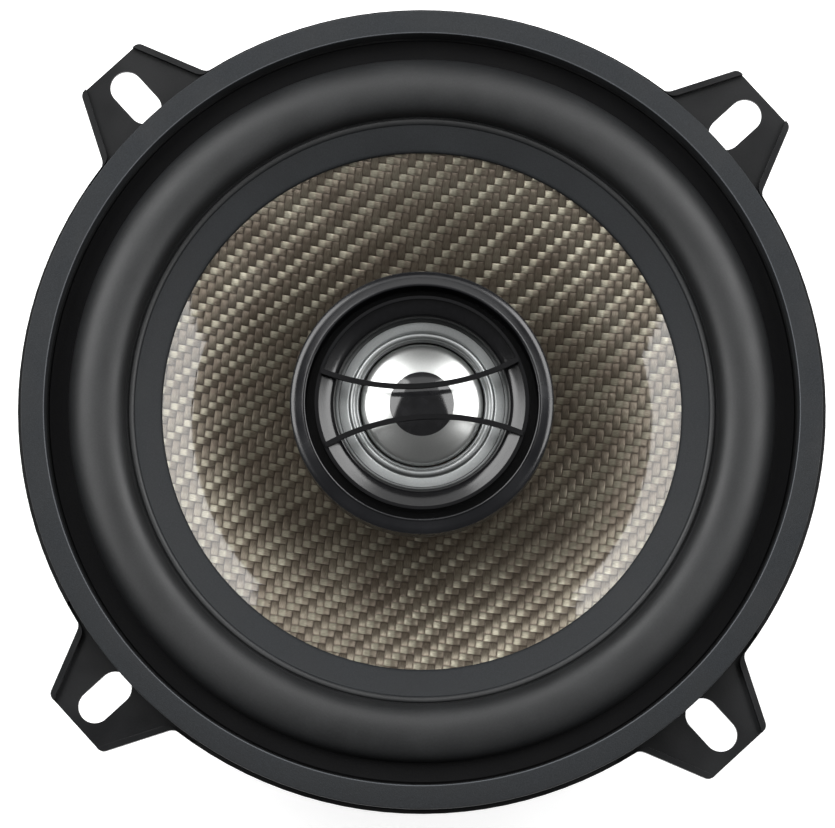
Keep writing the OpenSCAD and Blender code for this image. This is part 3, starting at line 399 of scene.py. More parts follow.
# %% Twill, from the place in the cloth's own grid
def woven_glass(name, pitch, turn):
    material = start_material(name, (0.2, 0.17, 0.14), 0.62, 0.42, Anisotropic=0.84,
                              Coat_Weight=0.85, Coat_Roughness=0.03, Coat_IOR=1.5)
    grid = node(material, "ShaderNodeMapping", {"Vector": own_place(material),
                "Rotation": (0, 0, -turn), "Scale": (1 / (pitch * MM), 1 / (pitch * MM), 1)},
                vector_type="POINT").outputs[0]
    u, v, _ = node(material, "ShaderNodeSeparateXYZ", {0: grid}).outputs
    i, j = calc(material, "FLOOR", u), calc(material, "FLOOR", v)

    def wrapped(value, step):
        return calc(material, "FLOORED_MODULO", value, step)

    def choose(warp, weft):
        return calc(material, "ADD", calc(material, "MULTIPLY", warp_on_top, warp),
                    calc(material, "MULTIPLY", calc(material, "SUBTRACT", 1.0, warp_on_top), weft))

    warp_on_top = calc(material, "LESS_THAN", wrapped(calc(material, "SUBTRACT", i, j), 4.0), 1.5)
    along = choose(wrapped(calc(material, "ADD", calc(material, "SUBTRACT", v, i), 1.0), 4.0),
                   wrapped(calc(material, "SUBTRACT", calc(material, "SUBTRACT", u, j), 2.0), 4.0))
    across = choose(wrapped(u, 1.0), wrapped(v, 1.0))
    arch = calc(material, "SINE", calc(material, "MULTIPLY", along, math.pi / 2))
    crown = calc(material, "SINE", calc(material, "MULTIPLY", across, math.pi))
    # a yarn is flat on top and falls quickly at its sides and ends
    body = calc(material, "MULTIPLY", calc(material, "POWER", arch, 0.6),
                calc(material, "POWER", crown, 0.35))
    # strands are fine across a yarn and long along it, and differ between the two layers
    fine, long, layer = 16.0, 1.3, 9.0
    strand_at = node(material, "ShaderNodeCombineXYZ",
                     {0: calc(material, "MULTIPLY", choose(u, v), fine),
                      1: calc(material, "MULTIPLY", choose(v, u), long),
                      2: calc(material, "MULTIPLY", warp_on_top, layer)}).outputs[0]
    strands = node(material, "ShaderNodeTexNoise",
                   {"Vector": strand_at, "Scale": 1, "Detail": 3, "Roughness": 0.6}).outputs["Fac"]
    height = calc(material, "ADD", body, calc(material, "MULTIPLY", strands, 0.3))
    # the first half of each float is painted brighter, a painted glint where the yarn rises; the second
    # sinks under the next yarn
    glint_half = spread(material, along, 0.85, 1.15, 1.0, 0.0)
    shine = calc(material, "ADD", calc(material, "MULTIPLY", glint_half, choose(0.05, 0.24)),
                 choose(0.31, 0.33))
    patches = grain(material, 7, 2)
    # yarns are painted darker at their sides and ends, painted shade in the grooves between them; broad
    # patches vary the tone
    light = calc(material, "MULTIPLY", calc(material, "ADD", shine, calc(material, "MULTIPLY",
                 calc(material, "SUBTRACT", strands, 0.5), 0.5)),
                 calc(material, "MULTIPLY", spread(material, body, 0.0, 0.5, 0.25, 1.0),
                      spread(material, patches, 0.3, 0.7, 0.85, 1.15)))
    wire(material, "Base Color", tint(material, light, [
        (0.0, (0.014, 0.011, 0.0085)), (0.25, (0.112, 0.088, 0.067)),
        (0.55, (0.26, 0.24, 0.182)), (1.0, (0.66, 0.635, 0.515))]))
    wire(material, "Roughness", spread(material, strands, 0.3, 0.7, 0.32, 0.44))
    wire(material, "Normal", relief(material, height, 0.2))
    wire(material, "Coat Normal", relief(material, height, 0.004))
    yarn = [(math.cos(turn), math.sin(turn), 0), (-math.sin(turn), math.cos(turn), 0)]
    beside = node(material, "ShaderNodeMix", {"Factor": warp_on_top}, data_type="VECTOR")
    beside.inputs["A"].default_value, beside.inputs["B"].default_value = yarn[1], yarn[0]
    wire(material, "Tangent", beside.outputs["Result"])
    return material


YARN_PITCH = 1.19
GRID_TURN = math.atan2(IMAGE_RIGHT.y, IMAGE_RIGHT.x) - math.radians(7)
WEAVE = woven_glass("woven_cone", YARN_PITCH, GRID_TURN)
print(f"yarns {YARN_PITCH} mm apart, grid turned {math.degrees(GRID_TURN):.0f} degrees")


# %% [markdown]
# ## Cloth, braid and copper
# The spider is a plain cotton weave, its leads are braided and the coil is wound, so each shows
# regular ridges. A sine of the place draws them and a fine noise breaks them up, which costs far
# less than a mesh of every thread.


# %% Cotton cloth for the spider, stranded braid for the leads and fine copper turns
def stripes(name, color, dark, roughness, axis, step, depth, metallic=0.0):
    """Ridges a step apart, counted along the height (2) or the radius (0)"""
    material = start_material(name, color, metallic, roughness)
    parts = node(material, "ShaderNodeSeparateXYZ", {0: own_place(material)})
    value = parts.outputs[2] if axis == 2 else from_axis(material, parts)
    wave = calc(material, "SINE", calc(material, "MULTIPLY", value, 2 * math.pi / (step * MM)))
    fuzz = grain(material, step * 2, 3)
    mixed = calc(material, "ADD", calc(material, "MULTIPLY", wave, 0.25), fuzz)
    wire(material, "Base Color", tint(material, mixed, [(0.2, dark), (0.75, color)]))
    wire(material, "Roughness", spread(material, fuzz, 0.3, 0.7, roughness - 0.06, roughness + 0.06))
    wire(material, "Normal", relief(material, mixed, depth))
    return material


def canvas(name, color, dark, pitch):
    """Plain weave: over one, under one"""
    material = start_material(name, color, 0.0, 0.88)
    u, v, _ = node(material, "ShaderNodeSeparateXYZ", {0: own_place(material)}).outputs
    turn = math.pi / (pitch * MM)
    check = calc(material, "MULTIPLY", calc(material, "SINE", calc(material, "MULTIPLY", u, turn)),
                 calc(material, "SINE", calc(material, "MULTIPLY", v, turn)))
    fuzz = grain(material, 0.2, 3)
    mixed = calc(material, "ADD", calc(material, "MULTIPLY", check, 0.3), fuzz)
    wire(material, "Base Color", tint(material, mixed, [(0.25, dark), (0.75, color)]))
    wire(material, "Roughness", spread(material, fuzz, 0.3, 0.7, 0.82, 0.95))
    wire(material, "Normal", relief(material, mixed, 0.12))
    return material


COPPER = stripes("copper", (0.62, 0.24, 0.10), (0.30, 0.09, 0.03), 0.28, 2, 0.25, 0.05, 1.0)
BRAID = stripes("tinsel", (0.62, 0.34, 0.16), (0.22, 0.10, 0.04), 0.42, 0, 0.5, 0.08, 0.8)
CLOTH = canvas("spider_cloth", (0.46, 0.26, 0.07), (0.20, 0.10, 0.02), 0.55)
print(len(bpy.data.materials), "materials in all")

# %% [markdown]
# ## Turning the round parts
# A turned part is one outline spun about the axis. Its corners are rounded first, because a
# real edge always catches a thin line of light. Edges that should look crisp are marked sharp,
# by the angle between the faces that meet there.


# %% Rounded outlines
def rounded(points, radii, steps=6):
    """Corner i is rounded to radii[i]; the outline is closed"""
    made = []
    count = len(points)
    for i, point in enumerate(points):
        here = Vector(point)
        before = (Vector(points[i - 1]) - here).normalized()
        after = (Vector(points[(i + 1) % count]) - here).normalized()
        if radii[i] <= 0:
            made.append(tuple(here))
            continue
        half = math.acos(max(-1, min(1, before.dot(after)))) / 2
        centre = here + (before + after).normalized() * radii[i] / math.sin(half)
        start = here + before * radii[i] / math.tan(half) - centre
        end = here + after * radii[i] / math.tan(half) - centre
        sweep = start.angle_signed(end)
        for k in range(steps + 1):
            made.append(tuple(centre + Matrix.Rotation(-sweep * k / steps, 2) @ start))
    return made


def arc(centre, radius, start, end, steps=8):
    angles = [math.radians(start + (end - start) * k / steps) for k in range(steps + 1)]
    return [(centre[0] + radius * math.cos(a), centre[1] + radius * math.sin(a)) for a in angles]


# %% From a mesh to a piece of the speaker
SHARP = math.radians(35)


def crisp(mesh):
    """Smooth shading, with sharp edges where faces meet at more than the angle"""
    work = bmesh.new()
    work.from_mesh(mesh)
    bmesh.ops.recalc_face_normals(work, faces=work.faces)
    for face in work.faces:
        face.smooth = True
    for edge in work.edges:
        edge.smooth = len(edge.link_faces) == 2 and edge.calc_face_angle(0) < SHARP
    work.to_mesh(mesh)
    work.free()


def add_piece(name, work, material, body, stands_for=()):
    mesh = bpy.data.meshes.new(name)
    work.to_mesh(mesh)
    work.free()
    crisp(mesh)
    mesh.materials.append(material)
    piece = bpy.data.objects.new(name, mesh)
    bpy.context.scene.collection.objects.link(piece)
    if body:
        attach(piece, body)
    if stands_for:
        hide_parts(*stands_for)
    return piece


# %% The lathe
def lathe(name, outline, material, body, stands_for=(), segments=256, closed=True):
    work = bmesh.new()
    rings = []
    for r, z in outline:
        if r < 1e-6:
            rings.append([work.verts.new((0, 0, z * MM))])
        else:
            rings.append([work.verts.new((r * math.cos(2 * math.pi * k / segments) * MM,
                                          r * math.sin(2 * math.pi * k / segments) * MM, z * MM))
                          for k in range(segments)])
    pairs = list(zip(rings, rings[1:])) + ([(rings[-1], rings[0])] if closed else [])
    for low, high in pairs:
        for k in range(segments):
            n = (k + 1) % segments
            corners = [low[k % len(low)], low[n % len(low)], high[n % len(high)], high[k % len(high)]]
            unique = list(dict.fromkeys(corners))
            if len(unique) > 2:
                work.faces.new(unique)
    return add_piece(name, work, material, body, stands_for)


# %% [markdown]
# ## Trim ring
# A ring of dense foam rubber, glued around the front over the surround's rim. Its matt, grainy
# top falls a little towards the outside. Its inner edge is painted lighter, a painted highlight for
# the thin bright line that the edge catches; it gets a finish of its own instead of a separate piece.

# %% Trim ring
RING_FALL = 0.7
trim = lathe("trim_ring_foam", rounded(
    [(RING_IN, FLANGE + 0.02), (RING_OUT, FLANGE + 0.02), (RING_OUT, RING_TOP - RING_FALL),
     (RING_IN, RING_TOP)], [0.1, 0.1, 0.3, 0.16]), TRIM, "chassis", ["trim_ring"])
trim.data.materials.append(TRIM_EDGE_HIGHLIGHT)
# faces on the ring's inner top edge take the painted highlight
for face in trim.data.polygons:
    r = math.hypot(face.center.x, face.center.y) / MM
    if r < RING_IN + 0.2 and face.center.z / MM > RING_TOP - 0.2:
        face.material_index = 1
print(f"trim ring {RING_OUT - RING_IN:.1f} mm wide, {RING_TOP - FLANGE:.1f} mm high")

# %% [markdown]
# ## Cone
# One arc runs from the cone's edge down to its neck, steeper all the way. Ninety-six steps along
# the arc keep its mirror images smooth. The skin gets its thickness along the true normal.

# %% Cone
EDGE_SLOPE = math.radians(18)
NECK_SLOPE = math.radians(45)
CONE_SKIN = 0.5
NECK_OUT = NECK_IN + CONE_SKIN
ARC_R = (CONE_OUT - NECK_OUT) / (math.sin(NECK_SLOPE) - math.sin(EDGE_SLOPE))
CONE_STEPS = 96


def cone_height(r):
    s = math.sin(EDGE_SLOPE) + (CONE_OUT - r) / ARC_R
    return CONE_TOP - ARC_R * (math.cos(EDGE_SLOPE) - math.sqrt(1 - s * s))


front, back = [], []
for step in range(CONE_STEPS + 1):
    r = CONE_OUT + (NECK_OUT - CONE_OUT) * step / CONE_STEPS
    lean = math.asin(math.sin(EDGE_SLOPE) + (CONE_OUT - r) / ARC_R)
    z = cone_height(r)
    front.append((r, z))
    back.append((r + CONE_SKIN * math.sin(lean), z - CONE_SKIN * math.cos(lean)))
back[0] = (CONE_OUT, CONE_TOP - CONE_SKIN)
neck = [(NECK_IN, front[-1][1] - 0.3), (NECK_IN, NECK_LOW), (NECK_OUT, NECK_LOW)]
lathe("cone_cloth", front + neck + back[::-1], WEAVE, "cone", ["cone"])
print(f"cone {2 * CONE_OUT:.1f} mm across, {CONE_TOP - front[-1][1]:.1f} mm deep, arc {ARC_R:.0f} mm")

# %% [markdown]
# ## Surround
# The rubber surround is one moulding: a flat rim glued to the frame, a roll a little fuller than
# half round that flexes, and a cuff glued on the cone. A small bead ends the cuff, with a groove
# before the roll. It could be a ring of plain tube, but light picks out each of these steps, so
# the whole outline is drawn. Three finishes share the mesh: the cuff is matt, the roll satin,
# and the flat rim is painted much darker, as painted shade for the deep recess it lies in.

# %% Heights along the surround
RUBBER_T = 0.6
ROLL_H = 3.9
ROLL_FULLNESS = 0.66        # 1 is a half round, less is fuller at the shoulders
BEAD_W, BEAD_H = 1.0, 0.25
ROLL_IN = CONE_OUT + 0.3
ROLL_OUT = LAND_OUT - 3.3
CUFF_GAP = 0.12
ROLL_STEPS = 40


def cuff_top(r):
    return cone_height(min(r, CONE_OUT)) + CUFF_GAP + RUBBER_T


def roll_line(thickness):
    middle, half = (ROLL_IN + ROLL_OUT) / 2, (ROLL_OUT - ROLL_IN) / 2 - thickness / 2
    foot_in, foot_out = cuff_top(ROLL_IN) - RUBBER_T, FLANGE
    made = []
    for k in range(ROLL_STEPS + 1):
        a = math.pi * (1 - k / ROLL_STEPS)
        share = (1 - math.cos(a)) / 2
        foot = foot_out + (foot_in - foot_out) * share
        made.append((middle + half * math.cos(a), foot + RUBBER_T - thickness / 2
                     + (ROLL_H - thickness / 2) * math.sin(a) ** ROLL_FULLNESS))
    return made


# %% Upper outline: rounded inner edge, cuff, bead, groove, roll, flat rim; then the underside
upper = [(CUFF_IN, cuff_top(CUFF_IN) - 0.28)]
upper += [(CUFF_IN + 0.06, cuff_top(CUFF_IN) - 0.08), (CUFF_IN + 0.25, cuff_top(CUFF_IN + 0.25))]
bead_start = ROLL_IN - 0.35 - BEAD_W
for k in range(1, 13):
    r = CUFF_IN + 0.25 + (bead_start - CUFF_IN - 0.25) * k / 12
    upper.append((r, cuff_top(r)))
for k in range(1, 9):
    a = math.pi * k / 8
    upper.append((bead_start + BEAD_W * (1 - math.cos(a)) / 2,
                  cuff_top(bead_start + BEAD_W * k / 8) + BEAD_H * math.sin(a)))
upper += [(ROLL_IN - 0.28, cuff_top(ROLL_IN) - 0.3), (ROLL_IN - 0.1, cuff_top(ROLL_IN) - 0.34)]
upper += [(ROLL_IN + 0.02, cuff_top(ROLL_IN) - 0.22)] + roll_line(0)[1:-1]
upper += [(ROLL_OUT + 0.1, FLANGE + RUBBER_T + 0.12), (ROLL_OUT + 0.35, FLANGE + RUBBER_T)]
upper += [(LAND_OUT - 0.2, FLANGE + RUBBER_T), (LAND_OUT, FLANGE + RUBBER_T - 0.2)]
lower = [(LAND_OUT, FLANGE + 0.02), (ROLL_OUT - 0.1, FLANGE + 0.02)]
lower += roll_line(2 * RUBBER_T)[::-1][1:-1]
lower += [(ROLL_IN + 0.1, cuff_top(ROLL_IN) - RUBBER_T)]
for k in range(7):
    r = CONE_OUT + (CUFF_IN - CONE_OUT) * k / 6
    lower.append((r, cuff_top(r) - RUBBER_T))


# %% [markdown]
# ### Parts that flex
# So it is called with a short line up the axis, to name the two bodies, and the shares that it
# stored on the mesh are then replaced by shares that depend on the radius alone.


# %% Bend with the radius, and make the surround
def flexes(piece, still, moving, still_r, moving_r):
    """The piece follows moving at moving_r and still at still_r; the blend's own line is unused"""
    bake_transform(piece, still, moving, start=(0, 0, 0), end=(0, 0, 1))
    weights = piece.data.attributes["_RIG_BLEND"].data
    for vertex, weight in zip(piece.data.vertices, weights):
        t = (math.hypot(vertex.co.x, vertex.co.y) / MM - still_r) / (moving_r - still_r)
        t = max(0, min(1, t))
        weight.value = t * t * (3 - 2 * t)


surround = lathe("surround_roll", upper + lower, RUBBER, None, ["surround"])
surround.data.materials.append(CUFF)
surround.data.materials.append(LAND_SHADE)
# the cuff takes its matt rubber, the flat rim the darker colour that is painted shade
for face in surround.data.polygons:
    r = math.hypot(face.center.x, face.center.y) / MM
    face.material_index = 1 if r < bead_start + 0.1 else 2 if r > ROLL_OUT + 0.05 else 0
flexes(surround, "chassis", "cone", ROLL_OUT, ROLL_IN)
print(f"roll {ROLL_OUT - ROLL_IN:.1f} mm wide, top at {max(z for _, z in upper):.2f} mm")

# %% [markdown]
# ## Spider
# The spider is a disc of stiffened cotton with pressed waves. It centres the coil and pulls it
# back. A sine along the radius is the shape that the press gives it, and like the surround it
# blends from the moving coil to the fixed frame.

# %% Spider
SPIDER_T = 0.45
WAVE = 1.15
WAVES = 4
WAVE_START, WAVE_END = SPIDER_IN + 1, 30.0
WAVE_STEPS = 96
flat_z = underside_at("spider", SPIDER_OUT) + 0.03
wave_line = []
for k in range(WAVE_STEPS + 1):
    r = WAVE_START + (WAVE_END - WAVE_START) * k / WAVE_STEPS
    wave_line.append((r, flat_z + WAVE * math.sin(2 * math.pi * WAVES * k / WAVE_STEPS)))
top_line = [(SPIDER_IN + SPIDER_T, SPIDER_TOP)] + [(r, z + SPIDER_T) for r, z in wave_line]
top_line += [(SPIDER_OUT - 0.05, flat_z + SPIDER_T)]
low_line = [(SPIDER_OUT - 0.05, flat_z)] + wave_line[::-1]
low_line += [(SPIDER_IN + 0.02, flat_z), (SPIDER_IN + 0.02, SPIDER_TOP)]
spider = lathe("spider_disc", top_line + low_line, CLOTH, None, ["spider"], segments=192)
flexes(spider, "chassis", "cone", WAVE_END, WAVE_START)
print("spider", WAVES, "waves,", round(SPIDER_OUT, 1), "mm radius")

# %% [markdown]
# ## Tweeter
# The tweeter sits in a rounded holder. Inside the holder, past a dark gap, is a capsule with a
# glossy black bowl. At the bottom of the bowl lies the diaphragm: a flat silver rim, a narrow
# roll, a groove, and the shining dome with a black disc in its middle.
#
# The holder is one plastic moulding. Its front edge is drawn as two arcs, since the curve of
# that edge decides where the bright line on it falls.

# %% Holder
lip_z = HOLDER_TOP
seat_z = DECK_LOW
SHOULDER_R = 2.4
SHOULDER_LOW, SHOULDER_HIGH = math.radians(63), math.radians(84)
SHOULDER_Z = lip_z - 0.25 - SHOULDER_R * (math.sin(SHOULDER_HIGH) - math.sin(SHOULDER_LOW))
shoulder_at = (HOLDER_OUT - 0.15 - SHOULDER_R * math.cos(SHOULDER_LOW),
               SHOULDER_Z - SHOULDER_R * math.sin(SHOULDER_LOW))
BASE_R, BASE_OUT, FLOOR_T, INSIDE_R = 8.5, 14.3, 2.4, 12.75
BORE = 18.55
holder_outline = [(HOLDER_IN + 0.02, HOLDER_LOW + 0.02), (BASE_R, HOLDER_LOW + 0.02)]
holder_outline += [(BASE_OUT, HOLDER_LOW + FLOOR_T), (HOLDER_OUT - 1.2, seat_z - 1.4),
                   (HOLDER_OUT, seat_z - 0.2)]
holder_outline += arc((HOLDER_OUT - 0.3, SHOULDER_Z - 0.28), 0.3, 0, 50, 5)
holder_outline += arc(shoulder_at, SHOULDER_R, 64, 84, 12)
holder_outline += [(BORE + 0.6, lip_z - 0.21), (BORE + 0.4, lip_z - 0.16),
                   (BORE + 0.34, lip_z - 0.03), (BORE + 0.22, lip_z - 0.01), (BORE + 0.08, lip_z - 0.07),
                   (BORE, lip_z - 0.22), (BORE, seat_z + 0.02), (INSIDE_R, seat_z + 0.02)]
inside_z = HOLDER_LOW + FLOOR_T + 0.02
holder_outline += [(INSIDE_R, inside_z), (HOLDER_IN + 0.02, inside_z)]
lathe("tweeter_holder_ring", holder_outline, HOLDER, "chassis", ["tweeter_holder"])
print(f"holder {2 * HOLDER_OUT:.1f} mm across, bore {2 * BORE:.1f} mm")

# %% [markdown]
# ### Bowl
# The bowl leads the sound forward. It is steep at its foot and opens out at the front, so a
# power curve is mixed with an even slope: one line of arithmetic, and no flat spots in the gloss.

# %% Bowl
GUARD_T = 0.5
bowl_foot = SILVER_OUT + 0.06
bowl_low = SILVER_TOP + 0.04
rim_r = CAPSULE_OUT - GUARD_T
EVEN_SHARE = 0.27
FLARE = 7
BOWL_STEPS = 36
bowl_line = []
for k in range(BOWL_STEPS + 1):
    t = (1 - k / BOWL_STEPS) ** 1.5
    bowl_line.append((bowl_foot + (rim_r - bowl_foot) * t, bowl_low + (FRONT_TOP - bowl_low)
                      * (EVEN_SHARE * t + (1 - EVEN_SHARE) * (1 - (1 - t) ** FLARE))))
DECK_IN = 10.6
deck_top = bowl_low - 0.68
bowl_outline = [(DECK_IN, seat_z + 0.02), (CAPSULE_OUT - 0.02, seat_z + 0.02),
                (CAPSULE_OUT - 0.02, FRONT_TOP)] + bowl_line
bowl_outline += [(bowl_foot, deck_top), (DECK_IN, deck_top)]
lathe("tweeter_bowl", bowl_outline, BOWL, "chassis", ["tweeter_front"])
print(f"bowl {2 * rim_r:.1f} mm wide at the front, {2 * bowl_foot:.1f} mm at its foot")

# %% [markdown]
# ### Diaphragm
# The dome is a thin foil pressed to part of a sphere, turned down at its edge. It moves with its
# coil. The film around it is one outline of groove, small roll and flat rim, and flexes. The
# disc in the middle is a separate glossy cap, a little more curved than the dome.

# %% Diaphragm
FILM = 0.22
dome_low, dome_high = size_of("tweeter_dome")[2:]
dome_base = SILVER_TOP - 0.35
DOME_H = dome_high - dome_base
BEND = (DOME_OUT ** 2 + DOME_H ** 2) / (2 * DOME_H)
EDGE_START = DOME_OUT - 0.9
EDGE_DROP = 0.45


def dome_height(r, skin=0.0):
    turned_down = max(0, r - EDGE_START) / (DOME_OUT - EDGE_START)
    return dome_high - BEND + math.sqrt((BEND + skin) ** 2 - r * r) - EDGE_DROP * turned_down ** 2


dome_line = [(DOME_OUT * k / 32, dome_height(DOME_OUT * k / 32)) for k in range(33)]
under_line = [(r * (1 - FILM / BEND), z - FILM) for r, z in reversed(dome_line)]
lathe("tweeter_dome_shell", dome_line + under_line, SILVER, "dome", ["tweeter_dome"],
      closed=False)
DISC_BEND = 16.0
disc_rise = math.sqrt(DISC_BEND ** 2 - DISC_OUT ** 2)
disc_line = []
for k in range(17):
    r = DISC_OUT * k / 16
    disc_line.append((r, dome_height(DISC_OUT) + 0.06 + math.sqrt(DISC_BEND ** 2 - r * r) - disc_rise))
disc_line += [(DISC_OUT * k / 8, dome_height(DISC_OUT * k / 8, 0.004)) for k in range(8, -1, -1)]
lathe("dome_disc_gloss", disc_line, DISC, "dome", ["dome_disc"], closed=False)

flat_top = SILVER_TOP - 0.02
roll_in = DOME_OUT + 0.55
roll_out = DOME_OUT + 1.75
film_line = [(DOME_OUT + 0.14, dome_base - 0.05), (DOME_OUT + 0.3, dome_base - 0.2),
             (roll_in - 0.05, dome_base - 0.1)]
film_line += [((roll_in + roll_out) / 2 - (roll_out - roll_in) / 2 * math.cos(math.pi * k / 12),
               flat_top - 0.12 + 0.52 * math.sin(math.pi * k / 12)) for k in range(13)]
film_line += [(roll_out + 0.12, flat_top - 0.04), (roll_out + 0.3, flat_top), (SILVER_OUT, flat_top)]
film_under = [(r, z - FILM) for r, z in reversed(film_line)]
film = lathe("tweeter_film", film_line + film_under, ROLL, None, ["tweeter_surround"])
flexes(film, "chassis", "dome", roll_out, roll_in)
print(f"dome {2 * DOME_OUT:.1f} mm across and {DOME_H:.1f} mm high, disc {2 * DISC_OUT:.1f} mm")

# %% [markdown]
# ## Flexible leads to the cone
# Each lead is a soft braid that leaves its solder tag, hangs in a loop and ends in a dab of glue
# on the cone's back. It is a curve with a round section, turned into a mesh so that it can bend
# between the frame and the cone. The braid itself is left to the material.


# %% Wires: a smooth curve through points, with a round section
def smooth_wire(name, points, diameter, material, body, stands_for, roundness=2):
    path = bpy.data.curves.new(name, "CURVE")
    path.dimensions = "3D"
    path.resolution_u = 8
    path.bevel_depth = diameter / 2 * MM
    path.bevel_resolution = roundness
    path.use_fill_caps = True
    line = path.splines.new("BEZIER")
    line.bezier_points.add(len(points) - 1)
    for knot, point in zip(line.bezier_points, points):
        knot.co = Vector(point) * MM
        knot.handle_left_type = knot.handle_right_type = "AUTO"
    guide = bpy.data.objects.new(name + "_guide", path)
    bpy.context.scene.collection.objects.link(guide)
    shape = guide.evaluated_get(bpy.context.evaluated_depsgraph_get())
    mesh = bpy.data.meshes.new_from_object(shape)
    bpy.data.objects.remove(guide)
    work = bmesh.new()
    work.from_mesh(mesh)
    bmesh.ops.remove_doubles(work, verts=work.verts, dist=1e-6)
    return add_piece(name, work, material, body, stands_for)


# %% The terminal block's own frame, and the ends of the leads
BLOCK_TURN = math.radians(225)


def from_block(x, y, z):
    """A point given in the terminal block's own frame, with X away from the axis"""
    return (x * math.cos(BLOCK_TURN) - y * math.sin(BLOCK_TURN),
            x * math.sin(BLOCK_TURN) + y * math.cos(BLOCK_TURN), z)


TAG_Z = -17.5
BLADE_SIDE = 7.5
TAG_LEN = 3.2
BLOCK_FACE = max((-v.co.x - v.co.y) / math.sqrt(2) / MM
                 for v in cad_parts["blade_positive"].data.vertices)
LEAD_END_R, LEAD_END_TURN = 24.2, math.radians(14.6)
LEAD_STILL_R, LEAD_MOVING_R = 46, 27
lead_x = LEAD_END_R * math.cos(LEAD_END_TURN)
lead_y = LEAD_END_R * math.sin(LEAD_END_TURN)
lead_z = cone_height(LEAD_END_R) - 2.6

# %% Two braided leads
for side, ending in ((-1, "positive"), (1, "negative")):
    route = [(BLOCK_FACE - TAG_LEN - 0.05, BLADE_SIDE, TAG_Z + 0.4), (47.4, 7.5, TAG_Z + 0.3),
             (44.8, 7.4, TAG_Z - 0.7), (42.2, 7.3, TAG_Z - 1.9), (39.4, 7.2, TAG_Z - 2.6),
             (36.6, 7, TAG_Z - 2.7), (33.8, 6.8, TAG_Z - 2.2), (31, 6.6, TAG_Z - 1.2),
             (28.4, 6.4, lead_z - 1.2), (26, lead_y + 0.2, lead_z - 0.3), (lead_x, lead_y, lead_z)]
    lead = smooth_wire("tinsel_braid_" + ending, [from_block(x, side * y, z) for x, y, z in route],
                       1.2, BRAID, None, ["tinsel_lead_" + ending])
    flexes(lead, "chassis", "cone", LEAD_STILL_R, LEAD_MOVING_R)
print("leads leave their tags at radius", round(BLOCK_FACE - TAG_LEN, 1))

# %% [markdown]
# ## Tweeter leads and crossover
# Two insulated wires run from the tweeter down through its post, across a channel in the back
# plate and up the side of the magnet. One ends at its tag. The other meets the capacitor, which
# keeps low notes away from the tweeter, in a shrunk sleeve. Each is a smooth curve through a few
# points, because stiff wire runs straight and turns in short, round bends.

# %% Where the wires run
POLE_TOP, NUT_TOP = -33.5, -52.0
GUIDE_Z = FLOOR_Z + 0.9
_, MAGNET_OUT, MAGNET_LOW, _ = size_of("magnet")
PLATE_R = size_of("yoke")[1]
_, _, PLATE_LOW, PLATE_TOP = size_of("top_plate")
SIDE_R = MAGNET_OUT + 1.6
can_low, can_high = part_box("capacitor")
can_centre = (can_low + can_high) / 2 / MM
can_r = (can_high.x - can_low.x) / 2 / MM
can_half = (can_high.y - can_low.y) / 2 / MM
CAN_R = -can_centre.x
END = Vector(((CAN_R + can_half) * math.cos(math.pi / 4), (can_half - CAN_R) * math.cos(math.pi / 4),
              can_centre.z))
SPLICE_START = END + Vector((2.6, 3.4, -2.2))
SPLICE_END = END + Vector((3.6, 9, -4.4))
LEAD_GAP = 1.3


# %% Wires
def tweeter_wire(name, side, finish, material, node_name):
    y = side * 1.1
    low = y * 0.65
    route = [(0, y, HOLDER_LOW + 4.0), (0, y, HOLDER_LOW), (0, y, POLE_TOP), (0, y, NUT_TOP),
             (0.05, y, GUIDE_Z + 1.4), (0.45, y, GUIDE_Z + 0.5), (1.3, y * 0.8, GUIDE_Z),
             (4, low, GUIDE_Z), (10, low, GUIDE_Z), (PLATE_R, low, GUIDE_Z),
             (SIDE_R - 1.2, low, GUIDE_Z + 0.2), (SIDE_R - 0.3, low, GUIDE_Z + 1),
             (SIDE_R, low, GUIDE_Z + 2.4), (SIDE_R, low, (MAGNET_LOW + PLATE_LOW) / 2),
             (SIDE_R, low, PLATE_LOW), (SIDE_R + 0.4, y * 1.2, PLATE_TOP)] + finish
    return smooth_wire(name, [from_block(*point) for point in route], 1.1, material, "chassis",
                       [node_name])


tweeter_wire("tweeter_wire_red", -1, [
    (SIDE_R + 1, -3.4, PLATE_TOP + 3), (SIDE_R + 1.6, -7, PLATE_TOP + 5.5),
    (SIDE_R + 1.8, -11.4, PLATE_TOP + 8), tuple(SPLICE_END + Vector((-0.1, 3.6, -1.8))),
    tuple(SPLICE_END)], RED, "tweeter_lead_positive")
tweeter_wire("tweeter_wire_black", 1, [
    (SIDE_R + 1.6, 3, PLATE_TOP + 4), (SIDE_R + 3.2, 4.4, PLATE_TOP + 8),
    (SIDE_R + 5, 5.6, PLATE_TOP + 11.6), (SIDE_R + 7, 6.6, PLATE_TOP + 14.4),
    (BLOCK_FACE - TAG_LEN * 0.7, BLADE_SIDE, TAG_Z - 0.75)], BLACK, "tweeter_lead_negative")
in_route = [END + Vector(step) for step in (
    (0.05, 0.05, LEAD_GAP), (1.2, 1.3, LEAD_GAP), (2.6, 3.6, 1.5), (4, 6.8, 1.6), (5.6, 10.6, 1.4),
    (7, 14.6, 1), (8.2, 18.2, 0.6))]
in_route += [Vector((BLOCK_FACE - TAG_LEN * 0.7, -BLADE_SIDE - 1.2, TAG_Z - 0.7)),
             Vector((BLOCK_FACE - TAG_LEN * 0.6, -BLADE_SIDE + 0.6, TAG_Z - 0.45))]
smooth_wire("capacitor_wire_in", [from_block(*p) for p in in_route], 0.8, WIRE, "chassis",
            ["capacitor_lead_in"])
out_route = [END + Vector(step) for step in (
    (0.05, 0.05, -LEAD_GAP), (1, 1.2, -LEAD_GAP), (1.9, 2.3, -1.6))] + [SPLICE_START]
